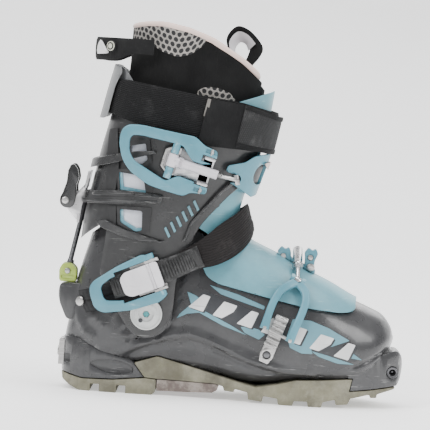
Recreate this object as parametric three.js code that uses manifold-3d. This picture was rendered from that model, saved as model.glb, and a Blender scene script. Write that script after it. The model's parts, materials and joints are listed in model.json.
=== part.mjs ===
// An alpine touring boot for the right foot, in millimetres: +X to the toe, +Z up, -Y to the outer
// (buckle) side.
// The shapes are laid out about the middle of the sole length and the foot's centre plane, and the whole
// boot is
// then shifted so that the frame's origin is on the ground under the middle of its box.
import * as THREE from "three";
import { mergeVertices } from "three/addons/utils/BufferGeometryUtils.js";
import Module from "manifold-3d";

const wasm = await Module();
wasm.setup();

// Driving dimensions
const frameShift = [6.6, 4.9, 0]; // layout to frame
const gap = 0.35; // clearance between pieces that touch
const shellWall = 3.5;
const cuffWall = 3.4;
const linerWall = 8;
const pivot = { x: -78, z: 72 }; // ankle axis
const pivotReach = 84; // the lower shell's collar is an arc of this radius about the ankle axis
const cuffReach = 86.5; // the cuff's rear stays outside this radius
const shinReach = 134.5; // what the cuff carries in front stays outside this radius
// lock bar's pin, size and lean in degrees
const bar = { x: -151, z: 104, radius: 2.4, length: 63, lean: 11 };
const leverPin = { x: -156.3, z: 164.1 }; // walk lever's pin
const toeSocket = { x: 139, z: 31.6 };

// Foot sections run from the sole to the top line, and turn from upright at the toe to level at the ankle.
// Each row: sole x, sole z, top x, top z, half width, sideways shift, height of the widest point,
// boxiness low, high
const footRows = [
  [137.5, 55, 138.5, 61, 6, 7, 0.5, 2, 2],
  [134, 46, 135, 71, 23, 6, 0.5, 2.2, 2],
  [126, 34, 127, 80.5, 36, 5, 0.45, 2.6, 2],
  [113, 24, 114.5, 86.5, 44, 3.5, 0.42, 3, 2],
  [96, 20, 99, 93, 49, 2, 0.4, 3.2, 2],
  [74, 19, 78, 104, 51.5, 0, 0.37, 3.4, 2],
  [48, 18, 54, 114.5, 51, -1.5, 0.35, 3.4, 2],
  [18, 15, 31, 126, 49, -2, 0.34, 3.4, 2],
  [-14, 16, 11, 134.5, 47, -2, 0.39, 2.5, 2.1],
  [-48, 18, -2, 142, 45, -1, 0.42, 2.2, 2.2],
  [-88, 16, -9, 148, 43.5, 0, 0.46, 2.2, 2.3],
  [-122, 15, -12, 151, 42, 0, 0.5, 2.6, 2.4],
  [-146, 22, -14, 154, 41, 0, 0.52, 2.4, 2.4],
  [-150, 42, -15, 157, 40.5, 0, 0.52, 2.3, 2.4],
  [-147, 65, -16, 159, 40.5, 0, 0.52, 2.3, 2.4],
  [-142.5, 95, -17, 162, 40.5, 0, 0.52, 2.2, 2.4],
  [-134, 128, -18, 166, 40.5, 0, 0.52, 2.2, 2.4],
  [-127, 152, -19, 172, 40.5, 0, 0.5, 2.2, 2.4],
  [-118, 180, -19, 190, 40.5, 0, 0.5, 2.2, 2.4],
];
// Leg sections run from the rear to the front, with the same columns.
const cuffRows = [
  [-148, 38, -8, 38, 50, 0, 0.5, 3, 3],
  [-148, 72, -6, 72, 51, 0, 0.5, 3, 3],
  [-147, 100, -4, 105, 51.5, 0, 0.5, 3, 2.9],
  [-144.5, 130, 0, 140, 52, 0, 0.5, 2.9, 2.8],
  [-142.5, 155, 3, 168, 52.5, 0, 0.5, 2.8, 2.7],
  [-137, 184, 9, 190, 53, 0, 0.5, 2.6, 2.6],
  [-131.5, 212, 15.5, 212, 54, 0, 0.5, 2.5, 2.5],
  [-125, 240, 20, 236, 55, 0, 0.5, 2.4, 2.4],
  [-119.5, 265, 23.5, 256, 55.5, 0, 0.5, 2.4, 2.4],
  [-113, 292, 26, 280, 55.5, 0, 0.5, 2.4, 2.4],
];
const linerRows = [
  [-130, 120, -24, 130, 35.5, 0, 0.5, 2.3, 2.3],
  [-126.5, 155, -10, 165, 37.5, 0, 0.5, 2.3, 2.3],
  [-122, 200, 0, 200, 43.5, 0, 0.5, 2.3, 2.3],
  [-113.5, 240, 8, 240, 45.5, 0, 0.5, 2.3, 2.3],
  [-107.5, 281, 13.5, 276, 46.5, 0, 0.5, 2.3, 2.3],
  [-106.5, 312, 16, 306, 46.5, 0, 0.5, 2.3, 2.3],
  [-106, 345, 18, 345, 46.5, 0, 0.5, 2.3, 2.3],
];

// Materials
const paint = (color, roughness, metalness = 0) => new THREE.MeshStandardMaterial({ color, roughness,
  metalness });
const look = {
  shell: paint(0x4a4b4e, 0.45),
  blue: paint(0x8fbac6, 0.45),
  rubber: paint(0x968f74, 0.85),
  arch: paint(0x6d5f58, 0.8),
  black: paint(0x1b1b1c, 0.6),
  fabric: paint(0x232325, 0.95),
  strap: paint(0x37322f, 0.85),
  binding: paint(0xd9c3b6, 0.9),
  steel: paint(0xb9babb, 0.3, 1),
  alloy: paint(0xd9d9dc, 0.35, 0.9),
  lime: paint(0x9fb53a, 0.5),
  smoke: paint(0x8d9093, 0.4),
  window: paint(0xaebfc9, 0.35),
  foam: paint(0x2d2d30, 0.95),
  board: paint(0x55565a, 0.8),
};

// Solids
function solidOf(geometry) {
  const bare = geometry.index ? geometry.clone() : geometry;
  for (const name of ["normal", "uv"]) bare.deleteAttribute(name);
  const merged = mergeVertices(bare, 1e-4);
  const mesh = new wasm.Mesh({
    numProp: 3,
    vertProperties: merged.attributes.position.array,
    triVerts: new Uint32Array(merged.index.array),
  });
  const made = new wasm.Manifold(mesh);
  if (made.volume() >= 0) return made;
  const flipped = mesh.triVerts.slice();
  for (let i = 0; i < flipped.length; i += 3) [flipped[i], flipped[i + 1]] = [flipped[i + 1], flipped[i]];
  return new wasm.Manifold(new wasm.Mesh({ numProp: 3, vertProperties: mesh.vertProperties,
    triVerts: flipped }));
}

function geometryOf(solid) {
  const mesh = solid.getMesh();
  const points = new Float32Array(mesh.numVert * 3);
  for (let i = 0; i < mesh.numVert; i++) {
    points.set(mesh.vertProperties.subarray(i * mesh.numProp, i * mesh.numProp + 3), i * 3);
  }
  const geometry = new THREE.BufferGeometry();
  geometry.setAttribute("position", new THREE.BufferAttribute(points, 3));
  geometry.setIndex(new THREE.BufferAttribute(mesh.triVerts, 1));
  geometry.computeVertexNormals();
  return geometry;
}

// Rings of points joined into one closed skin, with a flat fan at each end.
function skinOf(rings) {
  const sides = rings[0].length;
  const points = rings.flat();
  const faces = [];
  for (let i = 0; i + 1 < rings.length; i++) {
    for (let j = 0; j < sides; j++) {
      const a = i * sides + j;
      const b = i * sides + ((j + 1) % sides);
      faces.push(a, b, b + sides, a, b + sides, a + sides);
    }
  }
  for (const end of [0, rings.length - 1]) {
    const middle = rings[end].reduce((sum, p) => sum.add(p), new THREE.Vector3()).divideScalar(sides);
    points.push(middle);
    for (let j = 0; j < sides; j++) {
      const pair = [end * sides + j, end * sides + ((j + 1) % sides)];
      if (end === 0) pair.reverse();
      faces.push(points.length - 1, ...pair);
    }
  }
  const geometry = new THREE.BufferGeometry();
  geometry.setAttribute("position", new THREE.Float32BufferAttribute(points.flatMap((p) => p.toArray()),
    3));
  geometry.setIndex(faces);
  return solidOf(geometry);
}

// A smooth row between the rows of a table (Catmull-Rom).
function rowAt(rows, t) {
  const i = Math.min(Math.max(Math.floor(t), 0), rows.length - 2);
  const f = t - i;
  const at = (k) => rows[Math.min(Math.max(k, 0), rows.length - 1)];
  const [a, b, c, d] = [at(i - 1), at(i), at(i + 1), at(i + 2)];
  return b.map((_, n) => {
    const bend = 2 * a[n] - 5 * b[n] + 4 * c[n] - d[n];
    const twist = 3 * b[n] - a[n] - 3 * c[n] + d[n];
    return 0.5 * (2 * b[n] + (c[n] - a[n]) * f + bend * f * f + twist * f * f * f);
  });
}

// One ring of a table, grown outwards by a distance: a box-like oval from the row's first point to its
// second.
function ringAt(rows, t, grow, sides) {
  const [lowX, lowZ, topX, topZ, half, shift, wide, boxLow, boxTop] = rowAt(rows, t);
  const length = Math.hypot(topX - lowX, topZ - lowZ);
  const along = [(topX - lowX) / length, (topZ - lowZ) / length];
  const full = Math.max(length + 2 * grow, 2);
  const across = Math.max(half + grow, 1);
  const start = [lowX - along[0] * grow, lowZ - along[1] * grow];
  return Array.from({ length: sides }, (_, j) => {
    const angle = (2 * Math.PI * j) / sides;
    const c = Math.cos(angle);
    const s = Math.sin(angle);
    const power = 2 / (c > 0 ? boxLow : boxTop);
    const reach = Math.abs(c) < 1e-9 ? 0 : -Math.sign(c) * Math.abs(c) ** power;
    const side = Math.abs(s) < 1e-9 ? 0 : Math.sign(s) * Math.abs(s) ** power;
    const u = wide + (reach < 0 ? reach * wide : reach * (1 - wide));
    return new THREE.Vector3(start[0] + along[0] * u * full, shift + side * across,
      start[1] + along[1] * u * full);
  });
}

function loft(rows, from, to, steps, sides, grow = 0) {
  const rings = [];
  for (let i = 0; i <= steps; i++) rings.push(ringAt(rows, from + ((to - from) * i) / steps, grow, sides));
  return skinOf(rings);
}

// An outline in the side view (x, z), straight across from one y to another.
function sideCut(outline, fromY, toY) {
  const shape = outline instanceof THREE.Shape ? outline : new THREE.Shape(outline.map(([x, z]) =>
    new THREE.Vector2(x, z)));
  const geometry = new THREE.ExtrudeGeometry(shape, { depth: toY - fromY, bevelEnabled: false,
    curveSegments: 8 });
  geometry.rotateX(Math.PI / 2);
  geometry.translate(0, toY, 0);
  return solidOf(geometry);
}

// An outline in the plan view (x, y), from one height to another.
function planCut(outline, fromZ, toZ) {
  const shape = outline instanceof THREE.Shape ? outline : new THREE.Shape(outline.map(([x, y]) =>
    new THREE.Vector2(x, y)));
  const geometry = new THREE.ExtrudeGeometry(shape, { depth: toZ - fromZ, bevelEnabled: false,
    curveSegments: 8 });
  geometry.translate(0, 0, fromZ);
  return solidOf(geometry);
}

function block(low, high) {
  const size = high.map((v, k) => v - low[k]);
  const geometry = new THREE.BoxGeometry(...size);
  geometry.translate(...low.map((v, k) => v + size[k] / 2));
  return solidOf(geometry);
}

// A round bar between two points, or a cone where it has a second radius.
function rod(from, to, radius, sides = 12, endRadius = radius) {
  const a = new THREE.Vector3(...from);
  const b = new THREE.Vector3(...to);
  const geometry = new THREE.CylinderGeometry(endRadius, radius, a.distanceTo(b), sides);
  const turn = new THREE.Quaternion().setFromUnitVectors(new THREE.Vector3(0, 1, 0), b.clone().sub(a)
    .normalize());
  geometry.applyQuaternion(turn);
  geometry.translate(...a.add(b).multiplyScalar(0.5).toArray());
  return solidOf(geometry);
}

// A flat bar along a line of points: each ring is width across and thickness towards `out`, which each
// point may give.
function beam(points, width, thickness, out) {
  const line = points.map((p) => new THREE.Vector3(...p.slice(0, 3)));
  const rings = line.map((p, i) => {
    const ahead = line[Math.min(i + 1, line.length - 1)].clone().sub(line[Math.max(i - 1, 0)]).normalize();
    const side = ahead.clone().cross(new THREE.Vector3(...(points[i][3] ?? out))).normalize();
    const up = side.clone().cross(ahead).normalize();
    const wide = (Array.isArray(width) ? width[i] : width) / 2;
    const corner = (s, t) => p.clone().addScaledVector(side, s * wide).addScaledVector(up, t * thickness);
    return [corner(-1, 0), corner(1, 0), corner(1, 1), corner(-1, 1)];
  });
  return skinOf(rings);
}

// A strap given by its lower and upper edge points, thickened outwards.
function strap(rows, thickness) {
  const edges = rows.map(([low, high]) => [new THREE.Vector3(...low), new THREE.Vector3(...high)]);
  const rings = edges.map(([low, high], i) => {
    const middle = (k) => edges[k][0].clone().add(edges[k][1]);
    const ahead = middle(Math.min(i + 1, edges.length - 1)).sub(middle(Math.max(i - 1, 0))).normalize();
    const out = ahead.cross(high.clone().sub(low)).normalize().multiplyScalar(thickness);
    return [low, high, high.clone().add(out), low.clone().add(out)];
  });
  return skinOf(rings);
}

const aroundPivot = (radius, halfWidth) => rod([pivot.x, -halfWidth, pivot.z],
  [pivot.x, halfWidth, pivot.z], radius, 48);

// The boot, built one piece at a time
const boot = new THREE.Group();
boot.name = "touring_boot";
boot.position.set(...frameShift);

function add(name, material, solid) {
  const mesh = new THREE.Mesh(geometryOf(solid), material);
  mesh.name = name;
  boot.add(mesh);
  return solid;
}

// Sole: side outline of the line between shell and rubber, and the tread
const underShell = [
  [-170, 19], [-150.6, 14.9], [-132, 10.9], [-104, 11.7], [-77.7, 14.9], [-87.7, 27.9], [-66.9, 34.5],
    [6, 17.2], [20.3, 14.2],
  [39.9, 18.4], [54.4, 22.6], [79.2, 24], [104.2, 26], [102, 14.8], [120, 16.5], [143, 19.5], [170, 21],
];
const soleOutline = [
  [-151, 9], [-147, 21], [-136, 30], [-118, 34], [-90, 34], [-55, 31], [-25, 33], [10, 39], [45, 44.5],
    [75, 46],
  [100, 42.5], [122, 34.5], [138, 24], [146, 12], [148, 3], [146, -9], [138, -19], [122, -30], [100, -40],
  [75, -46.5], [45, -48], [10, -43.5], [-25, -36.5], [-55, -33], [-90, -34], [-118, -34], [-136, -30],
    [-147, -21],
  [-151, -9],
];
const soleShape = (margin = 0) => {
  const points = soleOutline.map(([x, y]) => new THREE.Vector2(x, y - Math.sign(y) * margin));
  return new THREE.Shape(points);
};

function heelOutsole() {
  const side = [
    [-151, 14.4], [-149.5, 8], [-142, 3.2], [-134, 0], [-70, 0], [-66.8, 3], [-66.8, 13.6], [-77.2, 14.3],
    [-104, 11.2], [-132, 10.4],
  ];
  let made = sideCut(side, -60, 60).intersect(planCut(soleShape(), -10, 40));
  for (const [from, to] of [[-124, -116], [-101, -93]]) made = made.subtract(block([from, -60, -5],
    [to, 60, 6.5]));
  return made.subtract(block([-160, -4, -5], [-60, 4, 4.5]));
}

function forefootOutsole() {
  const top = underShell.slice(5, 14).map(([x, z]) => [x, z - gap - 0.1]);
  const side = [
    [-86.6, 27.2], ...top.slice(1, -2), [103.6, 25.4], [101.4, 14.3], [120, 16], [142, 18.9], [141.5, 17],
      [126.4, 12.6], [126, 9.4],
    [120.4, 9.4], [119.4, 12.2], [103, 8.5], [101, 3.4], [90.5, 2.6], [89.5, 7.2], [79, 4.6], [78, 0],
      [66.5, 0],
    [65.5, 4.4], [54, 4.2], [53, 0], [40.5, 0.2], [39.5, 5.4], [27.4, 6.6], [26.4, 1.6], [14.4, 2.6],
      [13.4, 8.8],
    [2.4, 10.8], [1.4, 8], [-7, 8.6], [-8, 12.2], [-11.6, 12.9], [-15, 14], [-66, 14.3], [-77, 15],
  ];
  let made = sideCut(side, -60, 60).intersect(planCut(soleShape(), -10, 40));
  return made.subtract(block([-10, -5, -5], [130, 5, 7])).subtract(block([-92, -23, 16.4], [24, 23, 60]));
}

function archInsert() {
  const side = [[-66, 13.6], [-15, 13.4], [-11.8, 12.3], [-13.5, 8], [-17.4, 5.7], [-40, 4.4], [-66, 3.8]];
  return sideCut(side, -60, 60).intersect(planCut(soleShape(1.5), -10, 40));
}

add("heel_outsole", look.rubber, heelOutsole());
add("forefoot_outsole", look.rubber, forefootOutsole());
add("arch_insert", look.arch, archInsert());

// Lower shell
const footOuter = (grow = 0) => loft(footRows, 0, 17.6, 26, 24, grow);
const aboveSole = sideCut([...underShell.map(([x, z]) => [x, z + gap]), [170, 300], [-170, 300]], -80, 80)
  .add(block([-80, -22.6, 16.8], [10, 22.6, 60]));
// the rubber climbs the arch outside of this room, which the shell's hollow leaves solid
const archRoom = (more) => {
  const side = [[-99 - more, 0], [-99 - more, 26], [-89, 32 + more], [-67, 39 + more],
    [12 + more, 21 + more], [12 + more, 0]];
  return sideCut(side, -60, -19.5 + more).add(sideCut(side, 19.5 - more, 60));
};
// the collar: everything beyond the reach about the ankle axis, above the instep and heel
const collarCut = sideCut([[-172, 128], [-20, 112], [30, 220], [-172, 260]], -90, 90)
  .subtract(aroundPivot(pivotReach, 100));
const throatEdge = [[97, 92.5], [60, 91], [28, 98], [-18, 108], [-29, 122], [-33, 150]];

function heelLedge() {
  const side = [[-151.5, 10], [-153.7, 22], [-153.7, 40], [-150, 46], [-138, 46], [-118, 36], [-92, 30],
    [-70, 20], [-70, 10]];
  return sideCut(side, -60, 60).intersect(planCut(soleShape(), 0, 60));
}

function toeLug() {
  const side = [[100, 14], [100, 40], [126, 46], [136, 50], [142, 51], [146.5, 46], [148, 37], [146, 25],
    [142.5, 18], [141, 14]];
  return sideCut(side, -60, 60).intersect(planCut(soleShape(), 0, 60));
}

function anchorKnob() {
  const side = [[-138, 60], [-149.3, 60], [-156.3, 73.6], [-158, 82], [-157, 90.5], [-150, 92], [-132, 92]];
  const plan = [[-159, 8], [-150, 15], [-130, 20], [-130, -20], [-150, -15], [-159, -8]];
  return sideCut(side, -30, 30).intersect(planCut(plan, 50, 110));
}

function lowerShell() {
  let made = footOuter().add(heelLedge()).add(toeLug()).add(anchorKnob());
  for (const side of [-1, 1]) {
    made = made.add(rod([pivot.x, side * 36, pivot.z], [pivot.x, side * 46.6, pivot.z], 21, 32));
  }
  made = made.intersect(aboveSole).subtract(collarCut);
  made = made.subtract(sideCut([...throatEdge, [60, 190], [120, 140]], -90, 90));
  made = made.subtract(loft(footRows, 0.6, 18, 24, 22, -shellWall).subtract(archRoom(0)));
  made = made.subtract(rod([pivot.x, -70, pivot.z], [pivot.x, 70, pivot.z], 6.2, 24));
  made = made.subtract(rod([toeSocket.x, -40, toeSocket.z], [toeSocket.x, 40, toeSocket.z], 5.4, 12));
  made = made.subtract(block([-170, -15.4, 19.6], [-148.6, 15.4, 42.4]));
  made = made.subtract(rod([-150, 0, 31], [-147.6, 0, 31], 2.6, 12));
  for (const side of [-1, 1]) {
    const [from, to] = side < 0 ? [-60, -18] : [18, 60];
    made = made.subtract(block([-170, from, 23.3], [-143, to, 30.7]));
  }
  return made;
}
add("lower_shell", look.shell, lowerShell());

add("toe_pin_insert", look.steel, rod([toeSocket.x, -19.4, toeSocket.z], [toeSocket.x, 24.4, toeSocket.z],
  5, 12)
  .subtract(rod([toeSocket.x, -20, toeSocket.z], [toeSocket.x, -12, toeSocket.z], 3.2, 12, 1))
  .subtract(rod([toeSocket.x, 25, toeSocket.z], [toeSocket.x, 17, toeSocket.z], 3.2, 12, 1)));

function heelInsert() {
  let made = block([-154.2, -15, 20], [-149, 15, 42]);
  for (const y of [-10, 10]) made = made.subtract(block([-160, y - 2.6, 26], [-150.6, y + 2.6, 50]));
  return made.subtract(rod([-160, 0, 31], [-140, 0, 31], 2.5, 12));
}
add("heel_pin_insert", look.steel, heelInsert());
add("heel_insert_screw", look.alloy, rod([-156, 0, 31], [-154.5, 0, 31], 4.6, 12)
  .add(rod([-155, 0, 31], [-148, 0, 31], 2.1, 12))
  .subtract(rod([-157, 0, 31], [-155, 0, 31], 1.8, 6)));

// What the foot stands in
const board = sideCut([[-135, 22], [-135, 26], [-60, 30], [0, 25], [60, 25.5], [112, 30], [112, 28],
  [60, 23.4], [0, 22.6], [-60, 27], [-128, 22]], -50, 50);
add("boot_board", look.board, board.intersect(loft(footRows, 0.9, 17, 24, 22, -shellWall - 1.2))
  .subtract(archRoom(0.5)));

// Liner: foot, flexing ankle, shaft
const linerFootGrow = -shellWall - 1.2;
const footCollar = sideCut([[-170, 138], [-55, 128], [-20, 118], [20, 165], [10, 300], [-170, 300]], -90,
  90);

function linerFoot() {
  const outside = loft(footRows, 1.3, 17, 18, 20, linerFootGrow)
    .subtract(block([-170, -60, 0], [170, 60, 31]));
  const inside = loft(footRows, 1.6, 18, 20, 20, linerFootGrow - linerWall)
    .subtract(block([-170, -60, 0], [170, 60, 36]));
  return outside.subtract(inside).subtract(footCollar).subtract(archRoom(0.5));
}
add("liner_foot", look.fabric, linerFoot());

const bed = sideCut([[-128, 36.5], [-128, 40], [-60, 42], [0, 40.5], [60, 40], [98, 42], [98, 38.5],
  [60, 36.5]], -50, 50);
add("footbed", look.foam, bed.intersect(loft(footRows, 1.8, 14, 16, 16, linerFootGrow - linerWall - 1.4))
  .subtract(archRoom(9)));

const rimLine = [[-118, 316], [-104, 318], [-96, 320], [-78, 321], [-57, 317], [-37, 310], [-23, 301.5],
  [-8.5, 292.5], [5, 281], [16, 269]];
const linerGrow = (grow) => loft(linerRows, 0, 6, 8, 24, grow);
const belowRim = sideCut([[-170, 160], ...rimLine.map(([x, z], i) => (i ? [x, z] : [-170, z])), [60, 222],
  [60, 160]], -90, 90);
// the shaft starts outside this radius, clear of the lower shell as it tilts
const shaftFoot = aroundPivot(105, 100);
const tongueSlot = block([-16, -21, 100], [60, 21, 400]);

function linerShaft() {
  return linerGrow(0).intersect(belowRim).subtract(linerGrow(-linerWall)).subtract(shaftFoot)
    .subtract(tongueSlot);
}
add("liner_shaft", look.fabric, linerShaft());

// The binding folds over the shaft's rim.
const rimBand = sideCut([
  ...rimLine.map(([x, z], i) => (i ? [x, z + 0.4] : [-170, z + 0.4])), [60, 224], [60, 228], [17, 274],
  ...rimLine.slice(1, 9).reverse().map(([x, z]) => [x, z + 4.6]), [-170, 320.6],
], -90, 90);
const binding = linerGrow(0.8).intersect(rimBand).subtract(linerGrow(-linerWall - 0.8))
  .subtract(tongueSlot);
add("liner_binding", look.binding, binding);

function linerTongue() {
  const pad = linerGrow(-1).subtract(linerGrow(-linerWall - 3));
  const outline = [[-40, 180], [-12, 196], [60, 182], [60, 240], [16, 266], [3, 280], [-10, 291],
    [-40, 311]];
  return pad.intersect(sideCut(outline, -90, 90)).intersect(block([-15.5, -20.5, 100], [60, 20.5, 400]));
}
add("liner_tongue", look.foam, linerTongue());

function linerAnkle() {
  const tube = loft(linerRows, 0, 2, 5, 20, -2.4).subtract(loft(linerRows, -0.2, 2.2, 5, 20, -linerWall));
  const keep = sideCut([[-170, 139], [-55, 129], [-22, 121], [10, 140], [20, 165], [20, 230],
    [-170, 230]], -90, 90);
  return tube.intersect(keep).intersect(aroundPivot(104.5, 100));
}
add("liner_ankle", look.fabric, linerAnkle());

// Pull loops
const rearLoop = [[-86, -48.6], [-104, -45.5], [-120, -34], [-131, -20], [-138, -7], [-138, 7],
  [-131, 20], [-120, 34], [-104, 45.5], [-86, 48.6]]
  .map(([x, y], i) => [[x, y, i > 1 && i < 8 ? 288.5 : 295], [x, y, 308.5]]);
add("rear_pull_loop", look.black, strap(rearLoop, 2.6));
add("rear_loop_badge", look.lime, rod([-116.6, -41.2, 301.5], [-115.2, -39.7, 301.5], 4.6, 12));

const frontLoop = [[-17.5, 303], [-15, 317], [-7, 323.5], [3, 319], [8.5, 308], [5.5, 297.5], [-2, 293]]
  .map(([x, z], i) => [[x - 2, -14 + i, z], [x + 2, 4 + i, z]]);
add("front_pull_loop", look.black, strap(frontLoop, 2.2));

// Instep tongue
const tongueOutline = [
  [103, 91], [100, 84.6], [90, 82.8], [61.6, 85.3], [27.7, 91.9], [-18.8, 101.9], [-27.6, 106.9],
    [-32.4, 115.2],
  [-31, 124], [-22, 132], [4, 170], [60, 170], [120, 130],
];
function tongueFoot() {
  const skin = footOuter(3.6).subtract(footOuter(0.5));
  return skin.intersect(sideCut(tongueOutline, -90, 90)).intersect(aroundPivot(109, 100)
    .add(block([20, -90, 0], [200, 90, 200])));
}
add("tongue_foot", look.blue, tongueFoot());

const cuffSkin = (outer, inner) => loft(cuffRows, 0, 9, 12, 28, outer)
  .subtract(loft(cuffRows, -0.3, 9.3, 12, 28, inner));
const shinTop = [[-48, 256], [-17, 257.5], [17, 269], [60, 284], [60, 130], [-48, 130]];

function tongueShin() {
  const front = sideCut(shinTop, -90, 90).intersect(block([-46, -60, 100], [80, 60, 300]));
  return cuffSkin(-cuffWall - 0.9, -cuffWall - 3.6).intersect(front).subtract(aroundPivot(shinReach, 100));
}
add("tongue_shin", look.blue, tongueShin());

// The tongue's bellows between foot and shin, which folds as the cuff leans.
function tongueBellows() {
  const skin = loft(cuffRows, 2, 6, 6, 24, -cuffWall - 2.4)
    .subtract(loft(cuffRows, 1.8, 6.2, 6, 24, -cuffWall - 4.8));
  const keep = sideCut([[-24, 142], [8, 128], [40, 150], [30, 230], [-30, 230]], -40, 40);
  return skin.intersect(keep).intersect(aroundPivot(shinReach - gap, 100))
    .subtract(aroundPivot(109.4, 100));
}
add("tongue_bellows", look.blue, tongueBellows());

// Cuff
const cuffOutline = [
  [-142.2, 128.5], [-133.2, 125.3], [-125.2, 110.8], [-115.4, 95.6], [-103.5, 72], [-93.7, 58],
    [-84, 51.5], [-72, 51.5],
  [-62, 59], [-55.5, 74], [-54.2, 103.9], [-44, 131.9], [-36.4, 151.2], [-25.7, 163.9], [-13.1, 178.3],
    [0, 190],
  [26, 200], [26, 232], [-40, 246], [-110, 254], [-130, 243.2], [-150, 243.2], [-150, 128.5],
];
const windowPanes = [
  [[-110, 214], [-96, 217.5], [-93, 203], [-98, 199], [-108, 200]],
  [[-109.5, 193], [-88, 190.5], [-85, 176.5], [-107.5, 178]],
  [[-106.5, 161], [-87, 160.5], [-86.5, 143.5], [-92, 142.5], [-105.5, 150]],
];

function cuffShell() {
  let made = cuffSkin(0, -cuffWall).intersect(sideCut(cuffOutline, -90, 90));
  made = made.subtract(aroundPivot(cuffReach, 42.6)).subtract(block([-6, -22, 150], [60, 22, 300]));
  made = made.subtract(block([-170, -7.5, 100], [-120, 7.5, 205]));
  made = made.subtract(block([-170, -14.5, 100], [-120, 14.5, 140]));
  for (const pane of windowPanes) made = made.subtract(sideCut(pane, -70, 70));
  return made.subtract(rod([pivot.x, -70, pivot.z], [pivot.x, 70, pivot.z], 11.4, 32));
}
add("cuff_shell", look.shell, cuffShell());

const paneSkin = cuffSkin(-cuffWall - gap, -cuffWall - 1.8)
  .intersect(sideCut([[-114, 222], [-84, 222], [-80, 138], [-114, 138]], -90, 90));
add("window_panel_outer", look.window, paneSkin.intersect(block([-200, -80, 0], [100, 0, 400])));
add("window_panel_inner", look.window, paneSkin.intersect(block([-200, 0, 0], [100, 80, 400])));

function rearSpoiler() {
  const plate = cuffSkin(0, -2.8).intersect(sideCut([[-150, 243.6], [-111, 254.4], [-98, 254], [-99, 264],
    [-106, 279], [-113, 284.5], [-150, 285]], -90, 90));
  const tab = cuffSkin(-cuffWall - gap, -cuffWall - 2.6)
    .intersect(sideCut([[-150, 228], [-114, 236], [-100, 262], [-150, 262]], -90, 90));
  const bridge = cuffSkin(0, -cuffWall - 2.6).intersect(sideCut([[-150, 246], [-112, 256.5], [-101, 258],
    [-150, 258]], -90, 90));
  return plate.add(bridge).add(tab);
}
add("rear_spoiler", look.smoke, rearSpoiler());

// Ankle pivots
for (const [side, name] of [[-1, "outer"], [1, "inner"]]) {
  const at = (y) => [pivot.x, side * y, pivot.z];
  add(`pivot_sleeve_${name}`, look.alloy, rod(at(40), at(51.4), 6, 24).add(rod(at(46.9), at(51.4), 11, 32))
    .subtract(rod(at(30), at(60), 3.6, 12)));
  add(`pivot_screw_${name}`, look.steel, rod(at(51.7), at(54.6), 13.8, 36).add(rod(at(38), at(53), 3.3, 12))
    .subtract(rod(at(53), at(60), 2.6, 6)));
}

// Walk mechanism
const barEnd = (() => {
  const lean = THREE.MathUtils.degToRad(bar.lean);
  return [bar.x + bar.length * Math.sin(lean), 0, bar.z + bar.length * Math.cos(lean)];
})();
const anchorBlock = sideCut([[-158, 92.4], [-158.4, 104], [-155, 108.5], [-147, 108.5], [-143, 104],
  [-143, 92.4]], -9.5, 9.5)
  .subtract(block([-170, -3.4, 94.5], [-130, 3.4, 130]))
    .subtract(rod([bar.x, -20, bar.z - 2], [bar.x, 20, bar.z - 2], 2.1, 12));
add("lock_anchor", look.lime, anchorBlock);
add("lock_anchor_pin", look.steel, rod([bar.x, -10.5, bar.z - 2], [bar.x, 10.5, bar.z - 2], 1.8, 12));
const eye = rod([bar.x, -2.8, bar.z - 2], [bar.x, 2.8, bar.z - 2], 4.6, 20)
  .subtract(rod([bar.x, -5, bar.z - 2], [bar.x, 5, bar.z - 2], 2.1, 12));
const stem = rod([bar.x + 0.3, 0, bar.z + 1.2], barEnd, bar.radius, 12);
add("lock_bar", look.steel, eye.add(stem));

function leverBracket() {
  let made = null;
  for (const side of [-1, 1]) {
    const [from, to] = side < 0 ? [-12, -9] : [9, 12];
    const cheek = sideCut([[-142, 146], [-146.5, 148], [-153.6, 155.8], [-160, 163], [-158, 168.5],
      [-147.1, 171], [-140, 179], [-136, 184], [-134, 182], [-138.5, 165], [-140.5, 146]], from, to);
    made = made ? made.add(cheek) : cheek;
  }
  const feet = loft(cuffRows, 3, 6, 10, 32, 2.6).subtract(loft(cuffRows, 2.7, 6.3, 10, 32, 0.35));
  for (const [from, to] of [[146, 152], [176, 183]]) {
    made = made.add(feet.intersect(block([-170, -14, from], [-120, -9, to]))
      .add(feet.intersect(block([-170, 9, from], [-120, 14, to]))));
  }
  const bridge = feet.intersect(block([-170, -14, 184], [-120, 14, 190]));
  const struts = feet.intersect(block([-170, -14, 182], [-120, -9, 186])
    .add(block([-170, 9, 182], [-120, 14, 186])));
  made = made.add(bridge).add(struts);
  made = made.subtract(loft(cuffRows, 2, 7, 12, 32, 0.35));
  return made.subtract(rod([leverPin.x, -30, leverPin.z], [leverPin.x, 30, leverPin.z], 2.4, 12));
}
add("lever_bracket", look.alloy, leverBracket());
add("lever_pin", look.steel, rod([leverPin.x, -17.8, leverPin.z], [leverPin.x, 17.8, leverPin.z], 2.1, 12));

function walkLever() {
  const cheek = [[-157.3, 158], [-150.9, 157.8], [-148.2, 161.4], [-146.8, 170.3], [-147.5, 178],
    [-145.3, 184], [-148, 192], [-150.5, 195.8],
    [-153, 195.6], [-155, 191], [-155.6, 181], [-158.2, 172.3], [-161.2, 166], [-160.6, 161]];
  let made = sideCut(cheek, -16.4, -12.6).add(sideCut(cheek, 12.6, 16.4));
  const web = sideCut([[-158.6, 172], [-155.9, 180.5], [-155.3, 190.5], [-153, 195.4], [-150.6, 195.6],
    [-151.4, 190], [-151.8, 180], [-154.6, 172]], -16.4, 16.4);
  made = made.add(web);
  return made.subtract(rod([leverPin.x, -30, leverPin.z], [leverPin.x, 30, leverPin.z], 2.4, 12));
}
add("walk_lever", look.black, walkLever());

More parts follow.
